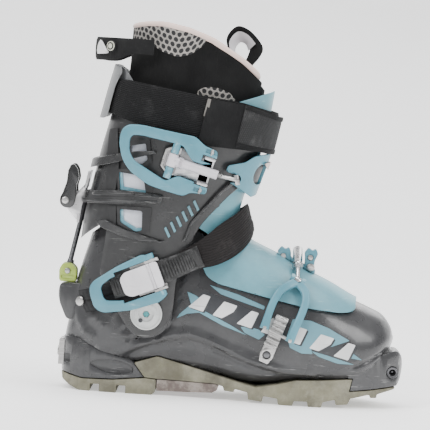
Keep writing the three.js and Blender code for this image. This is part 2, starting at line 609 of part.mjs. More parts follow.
// Power strap
const powerOutline = [[-118.5, 273], [-104, 272.5], [-41.4, 263.4], [-6.1, 259.4], [40, 248], [40, 214],
  [24.9, 216.5], [-4, 219], [-30.7, 220.5], [-122.4, 243]];
add("power_strap", look.strap, cuffSkin(4, 1).intersect(sideCut(powerOutline, -90, 90)));
const patchOutline = [[-3, 222.5], [-6, 226], [-10, 254], [-6, 258], [36, 247.5], [36, 216], [22, 217.5]];
add("power_strap_patch", look.strap, cuffSkin(7, 4 + gap).intersect(sideCut(patchOutline, -90, 6)));

// Cuff buckle: catch, base, lever, link
const cuffHinge = { x: -33.5, z: 198.5, y: -62.4, axis: [0.257, 0, 0.967] };
const catchOutline = [[-19, 188.5], [-10, 183.5], [0, 176.5], [40, 168], [40, 212], [8.7, 210.7],
  [-6, 207.5], [-14.7, 203.7], [-16, 199], [-6, 196.6], [-3, 192.5], [-6, 189.6], [-17, 192.2]];
function cuffCatch() {
  const skin = cuffSkin(6, 0.6).intersect(sideCut(catchOutline, -90, 8))
    .subtract(aroundPivot(shinReach, 100));
  const hole = new THREE.Shape().absellipse(12.5, 195.5, 5.5, 10, 0, Math.PI * 2, false, -0.35);
  return skin.subtract(sideCut(hole, -90, 0));
}
add("cuff_catch", look.blue, cuffCatch());

const along = (hinge, distance, across = 0, y = hinge.y) => {
  const [ax, , az] = hinge.axis;
  return [hinge.x - az * distance + ax * across, y, hinge.z + ax * distance + az * across];
};
function hingedPlate(hinge, corners, fromY, toY) {
  return sideCut(corners.map(([d, c]) => { const [x, , z] = along(hinge, d, c); return [x, z]; }), fromY,
    toY);
}
function cuffBase() {
  const plate = hingedPlate(cuffHinge, [[-4, -13], [-4, 13], [30, 12.5], [38, 9], [40, 0], [38, -9],
    [30, -12.5]], -57.2, -55.2);
  const ears = [-1, 1].map((s) => hingedPlate(cuffHinge, [[-4.5, s * 9.8], [-4.5, s * 12.6],
    [5, s * 12.6], [5, s * 9.8]], -65.2, -55.2));
  const studs = [-1, 1].map((s) => rod(along(cuffHinge, 0, s * 11), along(cuffHinge, 0, s * 18.6), 1.6,
    12));
  return [...ears, ...studs].reduce((sum, e) => sum.add(e), plate)
    .subtract(rod(along(cuffHinge, 28, 0, -70), along(cuffHinge, 28, 0, -50), 3, 12));
}
add("cuff_buckle_base", look.alloy, cuffBase());
add("cuff_buckle_rivet", look.steel, rod(along(cuffHinge, 28, 0, -58.1), along(cuffHinge, 28, 0, -57.5),
  5, 20).add(rod(along(cuffHinge, 28, 0, -58), along(cuffHinge, 28, 0, -54.6), 2.6, 12)));

const cuffLeverOutline = [
  [-109.7, 218.1], [-109.4, 226], [-107.7, 231.5], [-102.2, 235], [-91, 235.2], [-71.1, 231.9],
    [-44.4, 227.8], [-36, 220.5], [-25, 216.4],
  [-25.6, 205.6], [-37.2, 204.6], [-46.5, 207], [-55, 219.5], [-60.9, 221], [-91.9, 226.4], [-99, 226],
    [-101, 222], [-100.8, 212], [-96.4, 204.4], [-79, 194.4],
  [-68.4, 188.6], [-57.5, 193.5], [-42.5, 188.6], [-31.5, 188], [-33, 179], [-46.7, 179.7],
    [-52.2, 176.4], [-67.8, 179.8], [-84.2, 184.6], [-99.7, 195.3], [-106.6, 205.1],
];
function cuffLever() {
  const made = sideCut(cuffLeverOutline, -65.4, -60.4);
  const room = [
    hingedPlate(cuffHinge, [[-8, -13.3], [-8, -7.4], [7.5, -7.4], [7.5, -13.3]], -70, -50),
    hingedPlate(cuffHinge, [[-8, 7.4], [-8, 13.3], [7.5, 13.3], [7.5, 7.4]], -70, -50),
  ];
  const pinHole = rod(along(cuffHinge, 0, -30), along(cuffHinge, 0, 30), 1.9, 12);
  const lugs = [-1, 1].map((s) => rod(along(cuffHinge, 31, s * 6.2), along(cuffHinge, 31, s * 16), 3.4,
    12));
  return lugs.reduce((sum, e) => sum.add(e), made).subtract(pinHole).subtract(room[0]).subtract(room[1])
    .subtract(rod(along(cuffHinge, 31, -30), along(cuffHinge, 31, 30), 1.9, 12));
}
add("cuff_lever", look.blue, cuffLever());

function link(hinge, reach, y, barrelEnd) {
  const eyePart = rod(along(hinge, reach, -5.6, y), along(hinge, reach, 5.6, y), 4.2, 20);
  const barrel = rod(along(hinge, reach - 2, 0, y), along(hinge, barrelEnd, 0, y), 4, 12);
  const hole = rod(along(hinge, reach, -30, y), along(hinge, reach, 30, y), 1.9, 12);
  return eyePart.add(barrel).subtract(hole).subtract(rod(along(hinge, barrelEnd - 1, 0, y),
    along(hinge, barrelEnd + 13, 0, y), 2.1, 12));
}
add("cuff_link_pin", look.steel, rod(along(cuffHinge, 31, -15), along(cuffHinge, 31, 15), 1.6, 12));
add("cuff_barrel", look.alloy, link(cuffHinge, 31, cuffHinge.y, -10));
const hookTip = [-7.2, -58, 192.8];
add("cuff_hook", look.steel, rod(along(cuffHinge, 2), along(cuffHinge, -13), 1.75, 12)
  .add(rod(along(cuffHinge, -13), hookTip, 1.75, 12))
  .add(rod([hookTip[0] + 0.6, hookTip[1], hookTip[2] - 3.6], [hookTip[0] - 0.6, hookTip[1],
    hookTip[2] + 3.6], 2.2, 12)));

// Toe buckle
const toeHinge = { x: 36.4, z: 62.5, y: -57.2, axis: [0.915, 0, -0.404] };
const footSide = new THREE.Mesh(geometryOf(footOuter(0)), look.shell);
footSide.updateMatrixWorld(true);
const ray = new THREE.Raycaster();
// the y of the shell's outer side at a point of the side view
function shellSide(x, z, side = -1) {
  ray.set(new THREE.Vector3(x, side * 120, z), new THREE.Vector3(0, -side, 0));
  return ray.intersectObject(footSide)[0].point.y;
}
const onSide = (x, z, lift, side = -1) => [x, shellSide(x, z, side) + side * lift, z];
const rackLine = [[39.8, 77], [37, 69], [34, 60], [31, 51.5], [28, 43.5], [25.6, 37]].map(([x, z]) =>
  onSide(x, z, 0.9));
let rack = beam(rackLine, 11.5, 2.4, [0, -1, 0.12]);
for (let i = 0; i < 5; i++) {
  const [x, z] = [38.6 - i * 1.75, 73.6 - i * 5];
  const foot = onSide(x, z, 2.8);
  rack = rack.add(rod([foot[0] - 4.9, foot[1], foot[2] + 1.8], [foot[0] + 4.9, foot[1], foot[2] - 1.8],
    1.5, 8));
}
const rackHole = [onSide(28, 43.5, -3), onSide(28, 43.5, 8)];
add("toe_rack", look.alloy, rack.subtract(rod(...rackHole, 2.9, 12)));
add("toe_rack_rivet", look.steel, rod(onSide(28, 43.5, 3.7), onSide(28, 43.5, 5), 4.2, 12)
  .add(rod(onSide(28, 43.5, 0.4), onSide(28, 43.5, 4.2), 2.5, 12)));

const leverTop = onSide(50.5, 108, 12.2);
const barrelTop = [49.8, -14, 129.8];
const acrossTop = (reach) => [leverTop[0] + reach * toeHinge.axis[0], leverTop[1],
  leverTop[2] + reach * toeHinge.axis[2]];
function toeLever() {
  const armPoints = (xs) => xs.map(([x, z, lift]) => onSide(x, z, lift));
  const rear = armPoints([[24.6, 66, 5], [27.5, 78, 5], [31.5, 90, 6.2], [36.5, 98.5, 8.4],
    [43.5, 103.5, 10], [50.5, 106, 10.4]]);
  const fore = armPoints([[47, 56, 5], [51.5, 68, 5], [56, 80, 5.4], [58.8, 91, 8], [57.5, 99, 10],
    [50.5, 106, 10.4]]);
  const out = [0, -0.93, 0.37];
  let made = beam(rear, 6.4, 4.6, out).add(beam(fore, 6.4, 4.6, out));
  made = made.add(rod(acrossTop(-6.6), acrossTop(6.6), 4.4, 12));
  made = made.subtract(rod(acrossTop(-3.2), acrossTop(3.2), 6.4, 12))
    .subtract(rod(leverTop, barrelTop, 4.9, 12));
  return made.subtract(rod(acrossTop(-20), acrossTop(20), 1.7, 12));
}
add("toe_lever", look.blue, toeLever());
const [pinX, pinZ] = [toeHinge.axis[0], toeHinge.axis[2]];
const toePinY = shellSide(36.4, 62.5) - 7.3;
add("toe_lever_pin", look.steel, rod([toeHinge.x - 8.2 * pinX, toePinY, toeHinge.z - 8.2 * pinZ],
  [toeHinge.x + 8.2 * pinX, toePinY, toeHinge.z + 8.2 * pinZ], 1.5, 10));
const barrelStart = new THREE.Vector3(...leverTop).lerp(new THREE.Vector3(...barrelTop), 0.55).toArray();
add("toe_link", look.alloy, rod(acrossTop(-2.8), acrossTop(2.8), 3.4, 12)
  .add(rod(acrossTop(-6.6), acrossTop(6.6), 1.4, 10))
  .add(rod(leverTop, barrelTop, 2.1, 12)).add(rod(barrelStart, [49.6, -5.5, 133.4], 4.2, 12)));

function toeYoke() {
  const skin = loft(footRows, 3.5, 8.5, 18, 40, 7.4).subtract(loft(footRows, 3.2, 8.8, 18, 40, 4.2));
  let made = skin.intersect(planCut([[36, -9], [66, -9], [66, 12], [58, 30], [52, 60], [40, 60], [38, 30],
    [36, 12]], 60, 170));
  for (const x of [35.2, 56.2]) {
    const lobe = sideCut([[x, 116], [x - 1, 129], [x + 1.5, 134.5], [x + 6, 135], [x + 9, 129],
      [x + 8.5, 112]], -8.6, 5);
    made = made.add(lobe.subtract(loft(footRows, 3.2, 8.8, 18, 40, 4.2)));
  }
  return made;
}
const yoke = toeYoke().subtract(sideCut([[20, 60], [80, 60], [80, 78], [20, 78]], -90, 90));
add("toe_yoke", look.blue, yoke.intersect(block([20, -20, 76], [90, 70, 170])));
const medial = onSide(46, 88, 0, 1);
add("toe_yoke_rivet", look.steel, rod([46, medial[1] + 10, 88], [46, medial[1] + 11.2, 88], 4.6, 12));

// Instep ratchet strap
const instepHinge = { x: -71, z: 107.7, y: -66.5, axis: [-0.4, 0, 0.917] };
const anchorStrap = [[-134.5, -33.5], [-131.5, -40.5], [-126, -48.5], [-117, -54.2], [-104, -56],
  [-88, -56], [-78, -56]]
  .map(([x, y]) => { const z = 79 + (x + 134) * 0.37; return [[x + 4.4, y, z - 10],
    [x - 3.4, y, z + 9]]; });
add("instep_anchor_strap", look.black, strap(anchorStrap, 2.2));
add("instep_anchor_screw", look.steel, rod([-136.2, -40.2, 78.6], [-137.2, -41.8, 78.6], 4.2, 12));

function instepBase() {
  const plate = hingedPlate(instepHinge, [[-6, -13.8], [-6, 13.8], [20, 13.2], [20, -13.2]], -60.3, -58.7);
  const ears = [-1, 1].map((s) => hingedPlate(instepHinge, [[-6, s * 12], [-6, s * 14], [6, s * 14],
    [6, s * 12]], -69.2, -58.7));
  return ears.reduce((sum, e) => sum.add(e), plate)
    .subtract(rod(along(instepHinge, 0, -30), along(instepHinge, 0, 30), 1.9, 12));
}
add("ratchet_base", look.alloy, instepBase());
add("ratchet_pin", look.steel, rod(along(instepHinge, 0, -18.4), along(instepHinge, 0, 18.4), 1.6, 12));
add("ratchet_pawl", look.alloy, hingedPlate(instepHinge, [[-4.2, -11.4], [-4.2, 11.4], [26, 11], [31, 7],
  [31, -7], [26, -11]], -70.2, -68.4)
  .add(rod(along(instepHinge, 0, -11.2), along(instepHinge, 0, 11.2), 2.9, 12))
    .subtract(rod(along(instepHinge, 0, -30), along(instepHinge, 0, 30), 1.9, 12)));

const ratchetLeverOutline = [
  [-127.6, 93.9], [-124.4, 99], [-105.3, 112.6], [-84.9, 124], [-78.4, 123.9], [-76, 119.5],
    [-91.8, 111.5], [-110.5, 101.7], [-118.5, 94.5],
  [-113.9, 82.5], [-99.6, 83.4], [-80.8, 88.3], [-62.5, 96.4], [-60.2, 91], [-66.3, 84.4], [-89.6, 75.8],
    [-115.2, 72], [-122.5, 76], [-126.7, 87],
];
function ratchetLever() {
  const frame = sideCut(ratchetLeverOutline, -69.6, -64.8);
  const eyes = [-1, 1].map((s) => rod(along(instepHinge, 0, s * 14.5), along(instepHinge, 0, s * 19), 3.4,
    12));
  const pinHole = rod(along(instepHinge, 0, -40), along(instepHinge, 0, 40), 1.9, 12);
  return eyes.reduce((sum, e) => sum.add(e), frame).subtract(pinHole)
    .subtract(hingedPlate(instepHinge, [[-10, -14.4], [-10, 14.4], [34, 14], [34, -14]], -80, -50));
}
add("ratchet_lever", look.blue, ratchetLever());

function ladder() {
  const low = [[-105, 84.4], [-92, 89], [-64.8, 99.5], [-50, 107], [-38, 113.5], [-30, 117]];
  const high = [[-112, 102], [-99, 107.5], [-72.8, 118.5], [-58, 124.5], [-46, 130], [-38, 134.5]];
  const side = -60.7;
  return strap(low.map(([x, z], i) => [[x, side, z], [high[i][0], side, high[i][1]]]), 1.8);
}
add("ladder_strap", look.black, ladder());

// lower edge x, z and half width, then the upper edge's
const wrap = [
  [-45, 111, 57.4, -53, 128, 57.4], [-33.7, 114.6, 56.6, -42.5, 134, 56.6], [-22, 117.5, 53, -31, 143,
    53.5],
  [-11, 122.5, 45.5, -20, 153, 46], [-1, 129.5, 35, -9, 161, 34], [5.5, 137, 21, -1.5, 167, 20],
    [8, 141.5, 7, 1.5, 170, 6],
];
const wrapRows = wrap.map(([lx, lz, ly, hx, hz, hy]) => [[lx, -ly, lz], [hx, -hy, hz]]);
const wrapBack = wrap.slice().reverse().map(([lx, lz, ly, hx, hz, hy]) => [[lx, ly, lz], [hx, hy, hz]]);
const instepStrap = strap([...wrapRows, ...wrapBack], 2.4);
add("instep_strap", look.strap, instepStrap);
add("instep_strap_rivet", look.steel, rod([-46, 60.2, 120], [-46, 61.8, 120], 4.4, 12));

export default boot;
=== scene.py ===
import json
import math

import bmesh
import bpy
import numpy as np
from mathutils import Matrix, Vector, noise


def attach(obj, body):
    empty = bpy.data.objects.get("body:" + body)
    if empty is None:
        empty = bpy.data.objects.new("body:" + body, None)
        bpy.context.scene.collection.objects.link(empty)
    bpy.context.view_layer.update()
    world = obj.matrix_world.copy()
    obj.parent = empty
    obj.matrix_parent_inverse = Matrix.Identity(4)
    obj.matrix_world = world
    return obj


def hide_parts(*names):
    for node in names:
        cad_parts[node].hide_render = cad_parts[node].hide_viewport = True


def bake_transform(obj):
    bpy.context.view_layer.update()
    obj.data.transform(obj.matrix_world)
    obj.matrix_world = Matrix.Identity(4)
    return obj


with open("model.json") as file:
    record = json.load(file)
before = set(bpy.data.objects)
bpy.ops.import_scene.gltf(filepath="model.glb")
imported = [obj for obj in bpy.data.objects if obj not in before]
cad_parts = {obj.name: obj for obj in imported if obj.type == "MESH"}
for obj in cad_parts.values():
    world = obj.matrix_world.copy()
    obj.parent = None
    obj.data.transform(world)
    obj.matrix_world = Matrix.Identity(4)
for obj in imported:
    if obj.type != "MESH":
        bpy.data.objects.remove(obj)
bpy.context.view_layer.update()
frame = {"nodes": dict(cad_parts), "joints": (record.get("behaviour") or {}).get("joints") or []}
joints = {j["name"]: j for j in frame["joints"]}

# the boot is laid out in millimetres about the middle of its sole; this shift takes it to the frame
ankle = {"x": -78.0, "z": 72.0}
ankleInFrame = Vector(joints["cuff_tilt"]["pos_m"]) * 1000
shift = np.array([ankleInFrame.x - ankle["x"], ankleInFrame.y, ankleInFrame.z - ankle["z"]])


def toFrame(points):
    return (np.asarray(points, float) + shift) / 1000


# camera, light and floor
view = {"distance": 2.6, "azimuth": 1.0, "elevation": 3.0, "roll": 3.63, "width": 0.3784}
lookAt = Vector(toFrame((-25.0, 0, 158.6)))


def addCamera():
    data = bpy.data.cameras.new("camera")
    data.sensor_width = 36
    data.lens = data.sensor_width * view["distance"] / view["width"]
    data.clip_end = 30
    cam = bpy.data.objects.new("camera", data)
    bpy.context.scene.collection.objects.link(cam)
    azimuth, elevation, roll = (math.radians(view[k]) for k in ("azimuth", "elevation", "roll"))
    back = Vector((math.sin(azimuth) * math.cos(elevation), -math.cos(azimuth) * math.cos(elevation),
        math.sin(elevation)))
    right = Vector((0, 0, 1)).cross(back).normalized()
    up = back.cross(right)
    tiltedRight = right * math.cos(roll) + up * math.sin(roll)
    tiltedUp = back.cross(tiltedRight)
    turn = Matrix((tiltedRight, tiltedUp, back)).transposed().to_4x4()
    cam.matrix_world = Matrix.Translation(lookAt + back * view["distance"]) @ turn
    bpy.context.scene.camera = cam


def addLight(name, spot, size, power, tint=(1, 1, 1)):
    data = bpy.data.lights.new(name, "AREA")
    data.shape = "RECTANGLE"
    data.size, data.size_y = size
    data.energy = power
    data.color = tint
    lamp = bpy.data.objects.new(name, data)
    lamp.location = spot
    lamp.rotation_euler = (Vector((0, 0, 0.15)) - Vector(spot)).to_track_quat("-Z", "Y").to_euler()
    bpy.context.scene.collection.objects.link(lamp)


def addStudio():
    addLight("keyLeft", (-1.2, -1.3, 1.7), (0.9, 0.9), 34)
    addLight("keyRight", (1.5, -1.0, 1.3), (0.7, 1.2), 26)
    addLight("top", (0.0, 0.1, 1.9), (1.8, 0.9), 40)
    addLight("back", (0.3, 1.8, 1.2), (1.6, 1.0), 14)
    world = bpy.data.worlds.new("studio")
    bpy.context.scene.world = world
    world.use_nodes = True
    backgroundNode = world.node_tree.nodes["Background"]
    backgroundNode.inputs["Color"].default_value = (0.95, 0.96, 0.97, 1)
    backgroundNode.inputs["Strength"].default_value = 0.7

    floor = {"half": 4.0, "rise": 2.5, "bend": 1.2, "far": 2.6}
    profile = [(-floor["half"], 0.0), (floor["far"] - floor["bend"], 0.0)]
    for i in range(1, 13):
        a = math.pi / 2 * i / 12
        spot = floor["far"] - floor["bend"] + floor["bend"] * math.sin(a)
        profile.append((spot, floor["bend"] * (1 - math.cos(a))))
    profile.append((floor["far"], floor["rise"]))
    verts = [(side * floor["half"], y, z) for y, z in profile for side in (-1, 1)]
    faces = [(2 * i, 2 * i + 1, 2 * i + 3, 2 * i + 2) for i in range(len(profile) - 1)]
    mesh = bpy.data.meshes.new("floor")
    mesh.from_pydata(verts, [], faces)
    mesh.shade_smooth()
    obj = bpy.data.objects.new("floor", mesh)
    bpy.context.scene.collection.objects.link(obj)
    paper = bpy.data.materials.new("paper")
    paper.use_nodes = True
    shader = paper.node_tree.nodes["Principled BSDF"]
    shader.inputs["Base Color"].default_value = (0.93, 0.93, 0.93, 1)
    shader.inputs["Roughness"].default_value = 0.9
    shader.inputs["Emission Color"].default_value = (1, 1, 1, 1)
    shader.inputs["Emission Strength"].default_value = 0.5
    mesh.materials.append(paper)


addCamera()
addStudio()
print("camera and studio are set")

# the forms: rows of sections, each from a low or rear point to a top or front point
# low x, low z, top x, top z, half width, sideways shift, height of the widest point,
# boxiness low, boxiness high
footRows = [
    [137.5, 55, 138.5, 61, 6, 7, 0.5, 2, 2],
    [134, 46, 135, 71, 23, 6, 0.5, 2.2, 2],
    [126, 34, 127, 80.5, 36, 5, 0.45, 2.6, 2],
    [113, 24, 114.5, 86.5, 44, 3.5, 0.42, 3, 2],
    [96, 20, 99, 93, 49, 2, 0.4, 3.2, 2],
    [74, 19, 78, 104, 51.5, 0, 0.37, 3.4, 2],
    [48, 18, 54, 114.5, 51, -1.5, 0.35, 3.4, 2],
    [18, 15, 31, 126, 49, -2, 0.34, 3.4, 2],
    [-14, 16, 11, 134.5, 47, -2, 0.39, 2.5, 2.1],
    [-48, 18, -2, 142, 45, -1, 0.42, 2.2, 2.2],
    [-88, 16, -9, 148, 43.5, 0, 0.46, 2.2, 2.3],
    [-122, 15, -12, 151, 42, 0, 0.5, 2.6, 2.4],
    [-146, 22, -14, 154, 41, 0, 0.52, 2.4, 2.4],
    [-150, 42, -15, 157, 40.5, 0, 0.52, 2.3, 2.4],
    [-147, 65, -16, 159, 40.5, 0, 0.52, 2.3, 2.4],
    [-142.5, 95, -17, 162, 40.5, 0, 0.52, 2.2, 2.4],
    [-134, 128, -18, 166, 40.5, 0, 0.52, 2.2, 2.4],
    [-127, 152, -19, 172, 40.5, 0, 0.5, 2.2, 2.4],
    [-118, 180, -19, 190, 40.5, 0, 0.5, 2.2, 2.4],
]
cuffRows = [
    [-148, 38, -8, 38, 50, 0, 0.5, 3, 3],
    [-148, 72, -6, 72, 51, 0, 0.5, 3, 3],
    [-147, 100, -4, 105, 51.5, 0, 0.5, 3, 2.9],
    [-144.5, 130, 0, 140, 52, 0, 0.5, 2.9, 2.8],
    [-142.5, 155, 3, 168, 52.5, 0, 0.5, 2.8, 2.7],
    [-137, 184, 9, 190, 53, 0, 0.5, 2.6, 2.6],
    [-131.5, 212, 15.5, 212, 54, 0, 0.5, 2.5, 2.5],
    [-125, 240, 20, 236, 55, 0, 0.5, 2.4, 2.4],
    [-119.5, 265, 23.5, 256, 55.5, 0, 0.5, 2.4, 2.4],
    [-113, 292, 26, 280, 55.5, 0, 0.5, 2.4, 2.4],
]
linerRows = [
    [-130, 120, -24, 130, 35.5, 0, 0.5, 2.3, 2.3],
    [-126.5, 155, -10, 165, 37.5, 0, 0.5, 2.3, 2.3],
    [-122, 200, 0, 200, 43.5, 0, 0.5, 2.3, 2.3],
    [-113.5, 240, 8, 240, 45.5, 0, 0.5, 2.3, 2.3],
    [-107.5, 281, 13.5, 276, 46.5, 0, 0.5, 2.3, 2.3],
    [-106.5, 312, 16, 306, 46.5, 0, 0.5, 2.3, 2.3],
    [-106, 345, 18, 345, 46.5, 0, 0.5, 2.3, 2.3],
]


def rowAt(rows, t):
    i = min(max(math.floor(t), 0), len(rows) - 2)
    f = t - i
    a, b, c, d = (np.array(rows[min(max(k, 0), len(rows) - 1)], float) for k in (i - 1, i, i + 1, i + 2))
    return 0.5 * (2 * b + (c - a) * f + (2 * a - 5 * b + 4 * c - d) * f**2 + (3 * b - a - 3 * c + d) * f**3)


def ringPoints(rows, t, grow, angles):
    # angle 0 is the sole or rear, half a turn is the top or front, and sine is the side
    lowX, lowZ, topX, topZ, half, side, wide, boxLow, boxTop = rowAt(rows, t)
    length = math.hypot(topX - lowX, topZ - lowZ)
    alongX, alongZ = (topX - lowX) / length, (topZ - lowZ) / length
    c, s = np.cos(angles), np.sin(angles)
    power = np.where(c > 0, 2 / boxLow, 2 / boxTop)
    reach = -np.sign(c) * np.abs(c) ** power
    across = np.sign(s) * np.abs(s) ** power
    u = (wide + np.where(reach < 0, reach * wide, reach * (1 - wide))) * max(length + 2 * grow, 2)
    x = lowX - alongX * grow + alongX * u
    z = lowZ - alongZ * grow + alongZ * u
    return np.stack([x, side + across * max(half + grow, 1), z], axis=1)


# mesh helpers
def newObject(name, points, faces):
    mesh = bpy.data.meshes.new(name)
    mesh.from_pydata(toFrame(points).tolist(), [], faces)
    mesh.validate()
    obj = bpy.data.objects.new(name, mesh)
    bpy.context.scene.collection.objects.link(obj)
    bm = bmesh.new()
    bm.from_mesh(mesh)
    bmesh.ops.recalc_face_normals(bm, faces=bm.faces)
    bm.to_mesh(mesh)
    bm.free()
    return obj


def stackRings(name, rings, closedRound=True, capped=True):
    rings = [np.asarray(r, float) for r in rings]
    count = len(rings[0])
    points = np.concatenate(rings)
    faces = []
    for i in range(len(rings) - 1):
        for j in range(count if closedRound else count - 1):
            a, b = i * count + j, i * count + (j + 1) % count
            faces.append((a, b, b + count, a + count))
    if capped:
        faces.append(tuple(range(count)))
        faces.append(tuple(range(len(points) - count, len(points))))
    return newObject(name, points, faces)


def loft(name, rows, start, end, steps, sides, grow=0.0, relief=None):
    angles = np.linspace(0, 2 * math.pi, sides, endpoint=False)
    rings = []
    for i in range(steps + 1):
        ring = ringPoints(rows, start + (end - start) * i / steps, grow, angles)
        if relief is not None:
            ring = relief(ring)
        rings.append(ring)
    return stackRings(name, rings)


def sideSolid(name, outline, fromY, toY):
    # an outline in the side view (x, z), straight across from one y to another
    count = len(outline)
    points = [(x, y, z) for y in (fromY, toY) for x, z in outline]
    faces = [tuple(range(count)), tuple(range(2 * count - 1, count - 1, -1))]
    faces += [(i, (i + 1) % count, count + (i + 1) % count, count + i) for i in range(count)]
    return newObject(name, points, faces)


def planSolid(name, outline, fromZ, toZ):
    count = len(outline)
    points = [(x, y, z) for z in (fromZ, toZ) for x, y in outline]
    faces = [tuple(range(count)), tuple(range(2 * count - 1, count - 1, -1))]
    faces += [(i, (i + 1) % count, count + (i + 1) % count, count + i) for i in range(count)]
    return newObject(name, points, faces)


def blockSolid(name, low, high):
    outline = [(low[0], low[2]), (high[0], low[2]), (high[0], high[2]), (low[0], high[2])]
    return sideSolid(name, outline, low[1], high[1])


def rodSolid(name, start, end, radius, sides=24, endRadius=None):
    start, end = np.array(start, float), np.array(end, float)
    along = (end - start) / np.linalg.norm(end - start)
    side = np.cross(along, (0, 0, 1) if abs(along[2]) < 0.9 else (1, 0, 0))
    side /= np.linalg.norm(side)
    up = np.cross(along, side)
    rings = []
    for spot, r in ((start, radius), (end, radius if endRadius is None else endRadius)):
        turn = [2 * math.pi * k / sides for k in range(sides)]
        rings.append([spot + r * (math.cos(a) * side + math.sin(a) * up) for a in turn])
    return stackRings(name, rings)


def drumSolid(name, radius, half=100, sides=128):
    # a round solid about the axis of the ankle pivots
    return rodSolid(name, (ankle["x"], -half, ankle["z"]), (ankle["x"], half, ankle["z"]), radius, sides)


def applyModifiers(obj):
    graph = bpy.context.evaluated_depsgraph_get()
    mesh = bpy.data.meshes.new_from_object(obj.evaluated_get(graph))
    old = obj.data
    obj.modifiers.clear()
    obj.data = mesh
    bpy.data.meshes.remove(old)
    return obj


def combine(base, others, how):
    for other in others if isinstance(others, (list, tuple)) else [others]:
        mod = base.modifiers.new("cut", "BOOLEAN")
        mod.operation = how
        mod.object = other
        mod.solver = "EXACT"
        applyModifiers(base)
        old = other.data
        bpy.data.objects.remove(other)
        bpy.data.meshes.remove(old)
    return base


def cut(base, *others):
    return combine(base, others, "DIFFERENCE")


def join(base, *others):
    return combine(base, others, "UNION")


def keep(base, *others):
    return combine(base, others, "INTERSECT")


def tidyMesh(obj, gap=0.00012):
    bm = bmesh.new()
    bm.from_mesh(obj.data)
    bmesh.ops.remove_doubles(bm, verts=bm.verts, dist=gap)
    bmesh.ops.dissolve_degenerate(bm, dist=gap, edges=bm.edges)
    bm.to_mesh(obj.data)
    bm.free()
    return obj


def softenEdges(obj, width, segments=2, angle=38):
    mod = obj.modifiers.new("soft", "BEVEL")
    mod.width = width / 1000
    mod.segments = segments
    mod.limit_method = "ANGLE"
    mod.angle_limit = math.radians(angle)
    mod.use_clamp_overlap = False
    mod.miter_outer = "MITER_ARC"
    return applyModifiers(obj)


def smoothShade(obj, angle=32):
    obj.data.shade_smooth()
    obj.data.set_sharp_from_angle(angle=math.radians(angle))
    return obj


def rounded(obj, width=0.4, angle=40, shade=35, segments=2):
    tidyMesh(obj)
    softenEdges(obj, width, segments, angle)
    return smoothShade(obj, shade)


def finishPiece(obj, look, body, nodes=()):
    obj.data.materials.clear()
    obj.data.materials.append(looks[look])
    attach(obj, body)
    if nodes:
        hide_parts(*nodes)
    return obj


def softPiece(obj, look, nodes=(), body="cuff", shade=60):
    # straps, loops and padding
    finishPiece(smoothShade(obj, shade), look, body, nodes)


def roundCorners(outline, radius, steps=4):
    # each corner becomes a short arc-like curve; a corner may give its own radius as a third value
    made = []
    count = len(outline)
    for i, corner in enumerate(outline):
        p = np.array(corner[:2], float)
        own = corner[2] if len(corner) > 2 else radius
        before = np.array(outline[i - 1][:2], float) - p
        after = np.array(outline[(i + 1) % count][:2], float) - p
        lengthBefore, lengthAfter = np.linalg.norm(before), np.linalg.norm(after)
        r = min(own, lengthBefore * 0.45, lengthAfter * 0.45)
        if r < 0.05:
            made.append(tuple(p))
            continue
        start, end = p + before / lengthBefore * r, p + after / lengthAfter * r
        for k in range(steps + 1):
            f = k / steps
            made.append(tuple((1 - f) ** 2 * start + 2 * f * (1 - f) * p + f * f * end))
    return made


def smoothLine(points, count, closed=False):
    pts = [np.array(p, float) for p in points]
    total = len(pts) if closed else len(pts) - 1
    made = []
    for k in range(count if closed else count + 1):
        t = total * k / count
        i = min(int(t), total - 1)
        f = t - i
        pick = (lambda n: pts[n % len(pts)]) if closed else (lambda n: pts[min(max(n, 0), len(pts) - 1)])
        a, b, c, d = pick(i - 1), pick(i), pick(i + 1), pick(i + 2)
        second, third = 2 * a - 5 * b + 4 * c - d, 3 * b - a - 3 * c + d
        made.append(0.5 * (2 * b + (c - a) * f + second * f**2 + third * f**3))
    return made


# shader groups: each gives masks, values or heights that change over the surface
groups = {}


def newGroup(name, outputs, **numbers):
    # a group that takes a vector and some numbers; gives its tree, what comes in and what goes out
    tree = groups[name] = bpy.data.node_groups.new(name, "ShaderNodeTree")
    tree.interface.new_socket("Vector", in_out="INPUT", socket_type="NodeSocketVector")
    for label, value in numbers.items():
        tree.interface.new_socket(label, in_out="INPUT", socket_type="NodeSocketFloat").default_value = value
    for label in outputs:
        tree.interface.new_socket(label, in_out="OUTPUT", socket_type="NodeSocketFloat")
    return tree, tree.nodes.new("NodeGroupInput").outputs, tree.nodes.new("NodeGroupOutput").inputs


def addNode(tree, kind, **values):
    node = tree.nodes.new(kind)
    for key, value in values.items():
        if key.startswith("in_"):
            node.inputs[int(key[3:])].default_value = value
        else:
            setattr(node, key, value)
    return node


def mathNode(tree, operation, first, second=None, clamp=False):
    node = addNode(tree, "ShaderNodeMath", operation=operation, use_clamp=clamp)
    for i, value in enumerate((first, second)):
        if isinstance(value, bpy.types.NodeSocket):
            tree.links.new(value, node.inputs[i])
        elif value is not None:
            node.inputs[i].default_value = value
    return node.outputs[0]


def rampNode(tree, value, low, high, toLow=0.0, toHigh=1.0):
    node = addNode(tree, "ShaderNodeMapRange", interpolation_type="SMOOTHSTEP")
    tree.links.new(value, node.inputs[0])
    for i, number in zip((1, 2, 3, 4), (low, high, toLow, toHigh)):
        node.inputs[i].default_value = number
    return node.outputs[0]


def mixColor(tree, mask, first, second, blend="MIX"):
    node = addNode(tree, "ShaderNodeMix", data_type="RGBA", blend_type=blend)
    for socket, value in ((node.inputs["Factor"], mask), (node.inputs[6], first), (node.inputs[7], second)):
        if isinstance(value, bpy.types.NodeSocket):
            tree.links.new(value, socket)
        else:
            socket.default_value = value
    return node.outputs[2]


